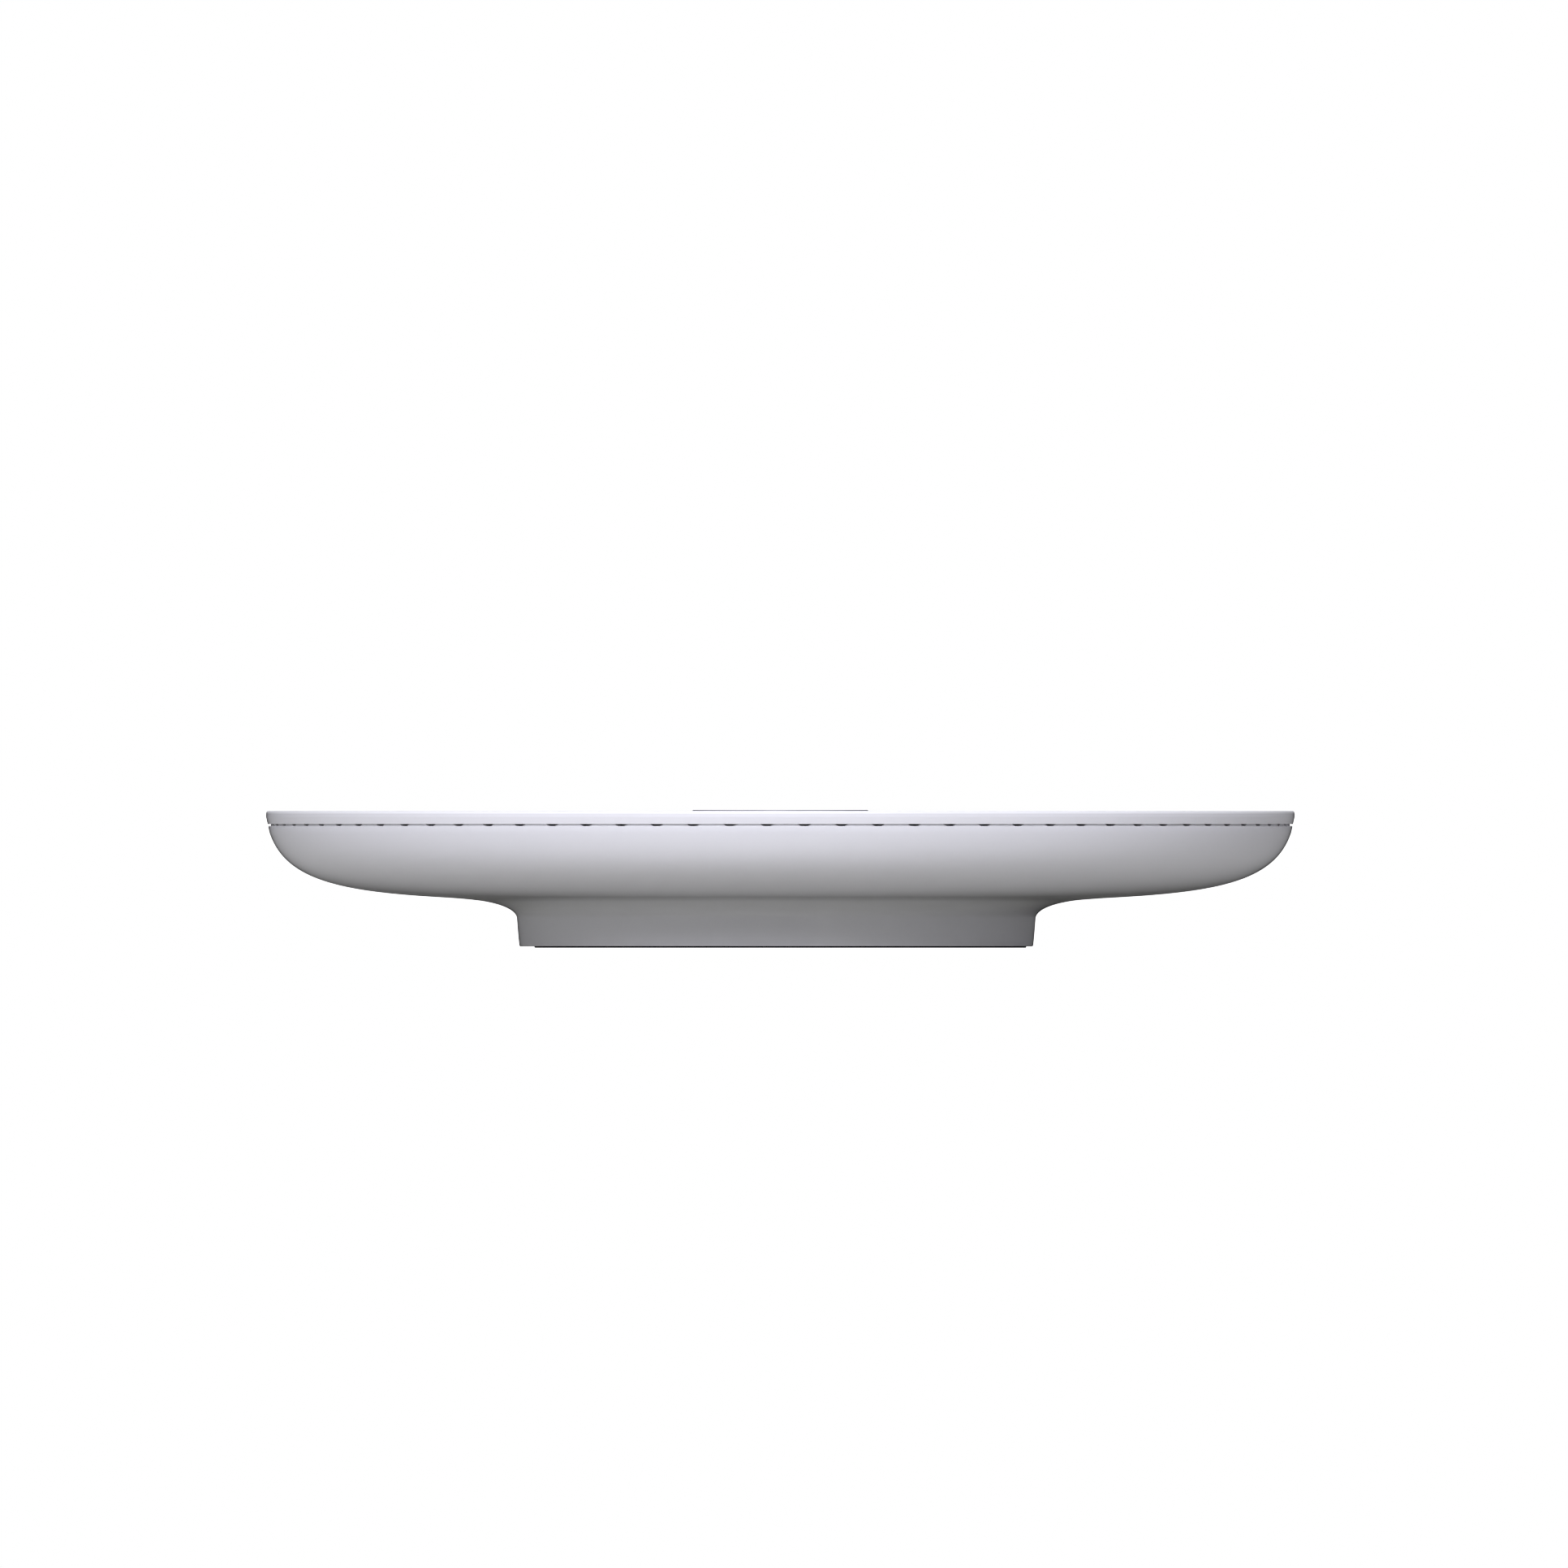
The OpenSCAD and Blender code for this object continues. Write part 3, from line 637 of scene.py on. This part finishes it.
moulded("white_plastic", color=(0.7, 0.7, 0.68), rough=0.42, grain=0.2, depth=0.004)
soft("thermal_pad", color=(0.22, 0.33, 0.5), rough=0.75, scale=1800)
soft("label", color=(0.72, 0.72, 0.71), rough=0.6, scale=3400)
clear("led", color=(0.9, 0.92, 0.95))
clear("clear_guide", color=(0.88, 0.9, 0.94))

SLOT_OF = {part["node"]: part["material_slot"] for part in frame["record"]["subparts"]}
for node, part in frame["nodes"].items():
    for material_slot in part.material_slots:
        material_slot.material = MATERIALS[SLOT_OF[node]]


def dress(piece, slot_name, node, body=None):
    """Gives the piece its material, the body it moves with and the CAD node it replaces."""
    piece.data.materials.clear()
    piece.data.materials.append(MATERIALS[slot_name])
    if body:
        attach(piece, body)
    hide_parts(node)


# ------------------------------------------------------------------ cap, indicator and vents
# profiles are (radius, z, corner radius)


def make_cap():
    edge = DISC_RADIUS
    longest = 9  # wide flat faces get a ring about this often
    # the face turns down over the edge in a curve taller than it is wide
    shoulder = [(edge - 0.38, FACE_Z), (edge - 0.12, FACE_Z), (edge, FACE_Z - 0.25),
                (edge, FACE_Z - 0.75)]
    outline = rounded([
        (14.3, POCKET_Z), (LENS_RADIUS + 0.05, POCKET_Z), (LENS_RADIUS + 0.05, FACE_Z, 0.12),
        *[bezier(shoulder, k / 8) for k in range(9)],
        (edge, 27.9, 1.6), (edge - 0.34, SKIRT_Z, 0.04), (edge - 2.4, SKIRT_Z, 0.1),
        (edge - 2.4, UNDER_Z, 0.3), (edge - 4.7, UNDER_Z, 0.15), (edge - 4.7, 24.6, 0.3),
        (edge - 6.4, 24.6, 0.3), (edge - 6.4, UNDER_Z, 0.3), (14.3, UNDER_Z, 0.1),
    ])
    profile = []
    for i, (radius, z) in enumerate(outline):
        next_radius, next_z = outline[(i + 1) % len(outline)]
        profile.append((radius, z))
        extra = int(hypot(next_radius - radius, next_z - z) // longest)
        for k in range(1, extra + 1):
            t = k / (extra + 1)
            profile.append((radius + (next_radius - radius) * t, z + (next_z - z) * t))
    cap = make_object("radome_cap_shell", revolve(profile, sides=360))
    posts = rods(POSTS, POST_CIRCLE, radius=3.5, z=(11, UNDER_Z + 0.6), sides=48)
    boolean(cap, posts, "UNION")
    bores = rods(POSTS, POST_CIRCLE, radius=1.55, z=(10, 22), sides=40)
    boolean(cap, bores, "DIFFERENCE")
    tidy(cap)
    dress(cap, "white_cap", "radome_cap", "access_point")


def make_lens():
    lens = make_object("indicator_disc", revolve(rounded([
        (0, LENS_BOTTOM), (LENS_RADIUS, LENS_BOTTOM, 0.05), (LENS_RADIUS, LENS_TOP, 0.1),
        (12, LENS_TOP), (6, LENS_TOP), (0, LENS_TOP),
    ]), sides=256))
    tidy(lens)
    dress(lens, "lens", "indicator_lens", "access_point")


def make_guide():
    guide = make_object("light_guide_ring", revolve(rounded([
        (8, 23.1, 0.2), (14, 23.1, 0.3), (14, 25.4, 0.2), (16.5, 25.4, 0.3),
        (16.5, UNDER_Z, 0.1), (14, UNDER_Z, 0.1), (14, POCKET_Z, 0.1), (11.5, POCKET_Z, 0.1),
        (8, 25.5, 0.4),
    ]), sides=144))
    tidy(guide)
    dress(guide, "clear_guide", "light_guide", "access_point")


def make_ring():
    edge = DISC_RADIUS
    ring = make_object("vent_ring_toothed", revolve(rounded([
        (edge - 4.5, SKIRT_Z, 0.1), (edge - 4.5, 23.8, 0.2), (edge - 2.8, 23.8, 0.2),
        (edge - 2.8, RIM_Z), (edge - 1.0, RIM_Z), (edge - 1.0, SKIRT_Z, 0.05),
    ], steps=3), sides=720))
    # openings: the lower part of a circle, cut from just below the seam
    openings, first_angle = 86, -90 + 2.7
    half_width = 1.2  # at half the seam's height
    sunk = 0.1  # how far the circle reaches below the seam
    sides = 96
    height = (SKIRT_Z - RIM_Z) / 2 + sunk
    radius = (half_width**2 + height * height) / (2 * height)
    section = []
    for k in range(sides):
        angle = 2 * pi * k / sides
        section.append((radius * sin(angle), RIM_Z - sunk + radius - radius * cos(angle)))
    # the section is drawn in (y, z) and runs outward along X
    verts, faces = prism(section, z=(edge - 6, edge + 2))
    opening = [(x, y, z) for y, z, x in verts], faces
    cuts = [turned(opening, first_angle + i * 360 / openings) for i in range(openings)]
    boolean(ring, cuts, "DIFFERENCE")
    tidy(ring)
    dress(ring, "white_shell", "vent_ring", "access_point")


# ------------------------------------------------------------------ housing

# Bezier control points (radius, z): the outer bowl, and the fillet from it down to the foot
BOWL = [(DISC_RADIUS - 0.42, RIM_Z - 0.35), (DISC_RADIUS - 3.57, 13.45), (92.55, 11.62),
        (65.9, 10.41)]
FILLET = [(FOOT_RADIUS + 9.4, 10.16), (FOOT_RADIUS + 5.4, 9.74), (FOOT_RADIUS + 0.4, 8.5),
          (FOOT_RADIUS + 0.25, 6.2)]
WALL = 2.2
RIM_INSIDE = DISC_RADIUS - 2.7
RECESS_RADIUS = 52.9  # recess that holds the plate


def housing_profile():
    """Closed (radius, z, shift along X) profile, from the rim down the outside and back inside."""
    profile = rounded([
        (RIM_INSIDE, RIM_Z), (DISC_RADIUS - 0.47, RIM_Z, 0.22),
        (DISC_RADIUS - 0.42, RIM_Z - 0.9), (RIM_INSIDE, RIM_Z - 0.9),
    ])[:7]
    start, steps = 0.03, 56
    bowl = [bezier(BOWL, start + (1 - start) * k / steps) for k in range(steps + 1)]
    bowl = [point for point in bowl if point[0] > 72]
    profile += bowl

    # the bowl runs into the fillet without a crease, sliding sideways to the foot's axis;
    # the fillet's steps count as six of the join's in that slide
    (last_radius, last_z), (fillet_radius, fillet_z) = bowl[-1], FILLET[0]
    join = [(last_radius, last_z), (last_radius - 2.6, last_z - 0.14),
            (fillet_radius + 2.6, fillet_z + 0.27), (fillet_radius, fillet_z)]
    join_steps, fillet_steps, fillet_share = 14, 26, 6
    slide_steps = join_steps + fillet_share
    for k in range(1, join_steps):
        shift = FOOT_SHIFT * smoothstep(k / slide_steps)
        profile.append((*bezier(join, k / join_steps), shift))
    for k in range(fillet_steps + 1):
        t = (join_steps + k * fillet_share / fillet_steps) / slide_steps
        profile.append((*bezier(FILLET, k / fillet_steps), FOOT_SHIFT * smoothstep(t)))

    ankle = (FOOT_RADIUS - 0.16, 1.3)
    sole = rounded([ankle, (FOOT_RADIUS - 0.29, 0.25, 0.28), (RECESS_RADIUS, 0.25)])[1:7]
    profile += [(*point, FOOT_SHIFT) for point in [(FOOT_RADIUS, 3.0), ankle, *sole]]
    # recess, and the underside of the pan
    profile += [(53.15, 0.25), (53.02, 0.29), (52.92, 0.40)]
    profile += [(RECESS_RADIUS, z) for z in (0.6, 2.2, 4.0, 5.3)]
    profile += [(52.8, 5.6), (52.5, PAN_BOTTOM)]
    profile += [(radius, PAN_BOTTOM) for radius in (44, 35, 26, 17, 8, 0)]
    # inside: the pan, the wall round it and the bowl
    profile += [(radius, PAN_TOP) for radius in (0, 10, 20, 30, 40, 48, 51.4)]
    profile += [(52.1, 7.7), (52.4, 8.4), (52.4, 10.4), (52.4, 12.0), (52.9, 12.4),
                (54.0, 12.5), (60, 12.5)]
    profile += [bezier_inset(BOWL, 0.19 + 0.79 * k / 30, WALL) for k in range(30, -1, -1)]
    return profile + [(RIM_INSIDE, 23.5), (RIM_INSIDE, 24.8)]


def pin_ramp():
    """Sloping slot in the pan's underside, along the pin's path through the twist."""
    circle = hypot(*PIN_AT)
    pin_angle = LATCH_TURN + degrees(atan2(PIN_AT[1], PIN_AT[0]))
    run = circle * radians(TWIST)
    rise = 0.6
    tilt = atan2(rise, run)
    reach = run / 2 + 2.4
    verts, faces = block(x=(-3.0, 3.0), y=(-reach, reach), z=(-2.0, 0.45))
    verts = [
        (circle + x, y * cos(tilt) - z * sin(tilt), PAN_BOTTOM + y * sin(tilt) + z * cos(tilt))
        for x, y, z in verts
    ]
    return turned((verts, faces), pin_angle - TWIST / 2)


def make_housing():
    housing = make_object("bottom_housing_shell", revolve(housing_profile(), sides=360))
    root = PAN_TOP - 0.5  # what stands on the pan starts inside it
    bay_left, bay_right, bay_half, bay_wall = -17.0, 27.0, 11.0, 1.6
    bay_outer = bay_half + bay_wall
    adds = [block(x=(bay_left - bay_wall, bay_right + bay_wall), y=(-bay_outer, bay_outer),
                  z=(root, 20.0))]
    adds += rods(POSTS, POST_CIRCLE, radius=4.5, z=(root, 11), sides=48)
    adds += [rod(LONE_BOSS, radius=3.0, z=(root, 12.4), sides=40)]
    adds += rods(BOSSES, BOSS_CIRCLE, radius=4.0, z=(12.0, 14.6), sides=48)
    boolean(housing, adds, "UNION")

    rib = block(x=(50.5, 53.1), y=(-0.6, 0.6), z=(root, 12.3))
    ribs = [turned(rib, angle) for angle in range(30, 331, 30) if angle != 180]
    boolean(housing, ribs, "UNION")

    bay = block(x=(bay_left, bay_right), y=(-bay_half, bay_half), z=(-1, 18.4))
    boolean(housing, [bay], "DIFFERENCE")

    # opening in the bay's -X wall, then the wide holes
    cuts = [block(x=(bay_left - 2, bay_left + 0.2), y=(-8.2, 8.2), z=(PAN_TOP, 24))]
    cuts += rods(STUDS, STUD_CIRCLE, radius=3.02, z=(0, 9), sides=48)
    cuts += rods(POSTS, POST_CIRCLE, radius=3.1, z=(0, 8.4), sides=48)
    cuts += rods(BOSSES, BOSS_CIRCLE, radius=1.55, z=(11.9, 20), sides=40)
    cuts += [rod(LONE_BOSS, radius=0.9, z=(0, 8), sides=32)]
    boolean(housing, cuts, "DIFFERENCE")

    # bores that meet those holes, and the ramp
    cuts = rods(POSTS, POST_CIRCLE, radius=1.65, z=(7, 13), sides=40)
    cuts += [rod(LONE_BOSS, radius=1.7, z=(PAN_TOP, 15), sides=40), pin_ramp()]
    boolean(housing, cuts, "DIFFERENCE")
    tidy(housing)
    dress(housing, "white_shell", "bottom_housing", "access_point")


# ------------------------------------------------------------------ plate, latch and studs


def keyhole(angle, z):
    """A narrow arc from the given angle that ends in a wide hole a twist further on."""
    narrow, wide = 2.3, 4.6  # half widths
    inner, outer = STUD_CIRCLE - narrow, STUD_CIRCLE + narrow
    centre = polar(TWIST, STUD_CIRCLE)

    def meeting(radius):
        """Angle at which an arc of this radius meets the wide hole."""
        cosine = (radius * radius + STUD_CIRCLE**2 - wide * wide) / (2 * STUD_CIRCLE * radius)
        return TWIST - degrees(acos(cosine))

    def bearing(radius):
        x, y = polar(meeting(radius), radius)
        return degrees(atan2(y - centre[1], x - centre[0])) % 360

    start = bearing(inner)
    sweep = (bearing(outer) - start) % 360 - 360  # the long way round the wide hole
    outline = arc((0, 0), inner, 0, meeting(inner), 16)
    outline += arc(centre, wide, start, start + sweep, 40)[1:]
    outline += arc((0, 0), outer, meeting(outer), 0, 16)[1:]
    outline += arc((STUD_CIRCLE, 0), narrow, -12, -168, 13)
    return turned(prism(outline, z), angle)


def make_plate():
    edge = PLATE_RADIUS
    profile = rounded([
        (edge, -0.05, 0.2), (edge, 1.2, 0.25), (edge - 2.2, 1.2, 0.6),
        (edge - 3.8, DECK_TOP, 1.0), *[(radius, DECK_TOP) for radius in (40, 26, 12, 0)],
        *[(radius, DECK_BOTTOM) for radius in (0, 12, 26, 40)],
        (edge - 4.5, DECK_BOTTOM, 0.5), (edge - 3, -0.05, 0.3),
    ])
    plate = make_object("mounting_plate_pressed", revolve(profile, sides=288))
    through = (0.6, 4.5)
    cuts = [keyhole(angle, through) for angle in STUDS]
    cuts += [slot((-2, 0), (14, 0), radius=11, z=through, steps=40)]
    for side in (-1, 1):
        cuts += [slot((0, side * 41.65), (0, side * 44.45), radius=2.3, z=through)]
        cuts += [rod((0, side * 30), radius=2.25, z=through, sides=48)]
        cuts += [rod((x, side * 22), radius=2.1, z=through, sides=48) for x in (-22, 22)]
    latch_holes = [rod(PIN_AT, radius=2.5, z=through, sides=48)]
    latch_holes += [rod(at, radius=1.02, z=through, sides=32) for at in RIVETS]
    cuts += [turned(hole, LATCH_TURN) for hole in latch_holes]
    boolean(plate, cuts, "DIFFERENCE")
    tidy(plate, crease=40)
    bevel(plate, width=0.09, angle=50)
    tidy(plate, crease=60, merge=1e-8)
    dress(plate, "black_plate", "mounting_plate", "ceiling_plate")


def leaf_half_width(y):
    root_half, root_corner, root_corner_y = 4.0, 1.0, -13.0
    neck_y, neck_length = -6.8, 1.6
    tip_half, tip_y = 2.5, 8.0
    if y < root_corner_y:
        return root_half - root_corner + sqrt(root_corner**2 - (root_corner_y - y) ** 2)
    if y < neck_y:
        return root_half
    if y < neck_y + neck_length:
        return root_half - (root_half - tip_half) * smoothstep((y - neck_y) / neck_length)
    if y > tip_y:
        return sqrt(max(0.05, tip_half**2 - (y - tip_y) ** 2))
    return tip_half


def leaf_strip():
    """The flat strip along Y, built from eight-sided sections with cut corners."""
    start, length, steps = -14.0, 24.5, 60
    low, high = LEAF_BOTTOM, LEAF_TOP - 0.005
    cut = (high - low) * 0.3
    verts, faces = [], []
    for k in range(steps + 1):
        y = start + length * k / steps
        left, right = LATCH_X - leaf_half_width(y), LATCH_X + leaf_half_width(y)
        section = [
            (left + cut, low), (right - cut, low), (right, low + cut), (right, high - cut),
            (right - cut, high), (left + cut, high), (left, high - cut), (left, low + cut),
        ]
        verts += [(x, y, z) for x, z in section]
    for i in range(0, steps * 8, 8):
        for k in range(8):
            j = (k + 1) % 8
            faces.append((i + k, i + j, i + j + 8, i + k + 8))
    last = steps * 8
    faces.append(tuple(range(8)))
    faces.append(tuple(range(last + 7, last - 1, -1)))
    return verts, faces


def make_leaf():
    """The leaf spring: a wide riveted root that narrows to a rounded tip under the pin."""
    leaf = make_object("latch_leaf", turned(leaf_strip(), LATCH_TURN))
    holes = [rod(at, radius=1.02, z=(0, 4), sides=32) for at in RIVETS]
    holes += [rod(PIN_AT, radius=0.82, z=(0, 4), sides=32)]
    boolean(leaf, [turned(hole, LATCH_TURN) for hole in holes], "DIFFERENCE")
    tidy(leaf)
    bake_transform(leaf)
    dress(leaf, "spring_steel", "latch_spring")


def make_pin():
    profile = rounded([
        (0, 1.0), (1.5, 1.0, 0.12), (1.5, LEAF_BOTTOM, 0.05), (0.8, LEAF_BOTTOM),
        (0.8, LEAF_TOP), (1.8, LEAF_TOP, 0.05), (1.8, PIN_TOP - 0.55, 0.4),
        (1.1, PIN_TOP, 0.4), (0, PIN_TOP),
    ], steps=4)
    pin = make_object("latch_pin_domed", revolve(profile, 64, at=spin(PIN_AT, LATCH_TURN)))
    tidy(pin)
    dress(pin, "black_plastic", "latch_pin", "latch")


def make_rivets():
    profile = rounded([
        (0, 1.0), (1.7, 1.0, 0.15), (1.7, LEAF_BOTTOM, 0.05), (1.0, LEAF_BOTTOM),
        (1.0, DECK_TOP), (1.7, DECK_TOP, 0.05), (1.62, 3.3, 0.2), (1.1, 3.55, 0.2), (0, 3.6),
    ], steps=4)
    shapes = [revolve(profile, 48, at=spin(at, LATCH_TURN)) for at in RIVETS]
    rivets = make_object("latch_rivet_pair", joined(shapes))
    tidy(rivets)
    dress(rivets, "zinc_steel", "latch_rivets", "ceiling_plate")


def make_studs():
    profile = rounded([
        (0, 0.62), (0.9, 0.62), (1.3, 0.5, 0.2), (3.6, 0.5, 0.35), (4.0, 0.85, 0.15),
        (4.0, 1.6, 0.12), (2.0, 1.6, 0.12), (2.0, PAN_BOTTOM, 0.05), (3.0, PAN_BOTTOM, 0.08),
        (3.0, PAN_TOP), (4.5, PAN_TOP, 0.1), (4.5, PAN_TOP + 0.9, 0.3), (0, PAN_TOP + 0.9),
    ], steps=4)
    shapes = [revolve(profile, 64, at=polar(angle, STUD_CIRCLE)) for angle in STUDS]
    studs = make_object("bayonet_stud_set", joined(shapes))
    tidy(studs)
    dress(studs, "zinc_steel", "bayonet_studs", "access_point")


make_cap()
make_lens()
make_guide()
make_ring()
make_housing()
make_plate()
make_leaf()
make_pin()
make_rivets()
make_studs()

# ------------------------------------------------------------------ floor

GROUND_Z = -0.25


def floor_paint():
    bounce = 0.445  # colour the floor has for all but camera rays, to keep the underside deep
    paint = Surface("floor_paint", color=(0.80, 0.80, 0.79), rough=0.62, specular=0.25)
    cloud = paint.noise(scale=3, detail=4, rough=0.55)
    fine = paint.noise(scale=900)
    paint.tint(cloud, color=(0.775, 0.775, 0.765), over=(0.35, 0.75), peak=0.5)
    paint.put("Roughness", paint.ramp(fine, over=(0.3, 0.7), to=(0.58, 0.68)))
    paint.bump(fine, strength=0.1, depth=0.02)
    # the camera sees it fade to the backdrop's white over this range in metres, and from
    # below sees only white
    place = paint.node("NewGeometry").outputs
    distance = paint.node("VectorMath", {0: place["Position"]}, operation="LENGTH")
    far = paint.ramp(distance.outputs["Value"], over=(0.14, 0.405))
    far = paint.calc("MAXIMUM", far, place["Backfacing"])
    camera_ray = paint.node("LightPath").outputs["Is Camera Ray"]
    fade = paint.calc("MULTIPLY", far, camera_ray, clamp=True)
    glow = paint.node("Emission", {"Color": (1, 1, 1, 1)})
    mix = paint.node("MixShader", {0: fade, 1: paint.bsdf.outputs[0], 2: glow.outputs[0]})
    feed(paint.tree, paint.out.inputs[0], mix.outputs[0])
    other_ray = paint.calc("SUBTRACT", 1.0, camera_ray)
    paint.tint(other_ray, color=(bounce, bounce * 0.995, bounce * 0.94))


profile = [(radius, GROUND_Z) for radius in (0, 60, 150, 400, 1200, 4000)]
floor = make_object("floor", revolve(profile + [(4000, -20), (0, -20)], sides=96))
for face in floor.data.polygons:
    face.use_smooth = False
floor_paint()
floor.data.materials.append(MATERIALS["floor_paint"])

# ------------------------------------------------------------------ world and lights


def make_world():
    """White to the camera, a dim room to everything else."""
    world = bpy.data.worlds.new("studio")
    SCENE.world = world
    world.use_nodes = True
    tree = world.node_tree
    tree.nodes.clear()
    camera_ray = add_node(tree, "LightPath").outputs["Is Camera Ray"]
    white = add_node(tree, "Background", {"Color": (1, 1, 1, 1)})
    room = add_node(tree, "Background", {"Color": (0.985, 0.985, 1.05, 1), "Strength": 0.08})
    mix = add_node(tree, "MixShader", {0: camera_ray, 1: room.outputs[0], 2: white.outputs[0]})
    add_node(tree, "OutputWorld", {0: mix.outputs[0]})


make_world()

# lights under the floor are shaded by the object alone, and miss the plate that stands on it
ONLY_OBJECT = bpy.data.collections.new("object_alone")
LIT_BELOW = bpy.data.collections.new("lit_from_below")
for part in SCENE.objects:
    if part.type == "MESH" and part.name != floor.name:
        ONLY_OBJECT.objects.link(part)
        if not part.name.startswith(("mounting_plate", "latch")):
            LIT_BELOW.objects.link(part)

AIM_Z = 0.015  # metres
# name, azimuth from -Y toward +X, elevation, distance and size in metres,
# level it adds to a white surface that faces it, colour
LIGHTS = [
    ("key", -8, 27, 2.2, 1.1, 0.618, (0.972, 0.97, 1.10)),
    ("left", -60, 12, 2.2, 1.0, 0.135, (0.985, 0.98, 1.08)),
    ("right", 60, 12, 2.2, 1.0, 0.133, (0.985, 0.98, 1.08)),
    ("front", -5, 4, 2.2, 1.0, 0.038, (0.985, 0.985, 1.03)),
    ("below", -42, -50, 2.2, 1.0, 0.121, (1, 1, 0.95)),
    ("below_left", -60, -30, 2.2, 1.0, 0.025, (1, 1, 0.98)),
    ("top", 0, 88, 2.0, 1.4, 0.40, (1, 1, 1.03)),
    ("back", 180, 38, 2.4, 1.0, 0.08, (1, 1, 1.02)),
]
for name, azimuth, elevation, distance, size, level, color in LIGHTS:
    around, up = radians(azimuth), radians(elevation)
    offset = Vector((sin(around) * cos(up), -cos(around) * cos(up), sin(up))) * distance
    light = bpy.data.lights.new(name, "AREA")
    light.shape = "SQUARE"
    light.size = size
    light.energy = level * pi * pi * distance * distance
    light.color = color
    lamp = bpy.data.objects.new(name, light)
    SCENE.collection.objects.link(lamp)
    lamp.location = offset + Vector((0, 0, AIM_Z))
    lamp.rotation_euler = (-offset).to_track_quat("-Z", "Y").to_euler()
    lamp.visible_camera = False
    if elevation < 0:
        lamp.light_linking.receiver_collection = LIT_BELOW
        lamp.light_linking.blocker_collection = ONLY_OBJECT

# ------------------------------------------------------------------ camera

VIEW_WIDTH = 335.47248
VIEW_X, VIEW_Z = 0.78, 34.97
CAMERA_Y = -1.5  # metres

view = bpy.data.cameras.new("side")
view.type = "ORTHO"
view.ortho_scale = VIEW_WIDTH * MILLI
view.clip_start = 0.01
view.clip_end = 20
camera = bpy.data.objects.new("side", view)
SCENE.collection.objects.link(camera)
camera.location = (VIEW_X * MILLI, CAMERA_Y, VIEW_Z * MILLI)
camera.rotation_euler = (pi / 2, 0, 0)
SCENE.camera = camera
SCENE.view_settings.view_transform = "Standard"
SCENE.view_settings.look = "None"
SCENE.view_settings.exposure = 0.0
SCENE.view_settings.gamma = 1.0
# a narrow filter keeps the thin seam and plate line crisp
SCENE.cycles.filter_width = 1.0
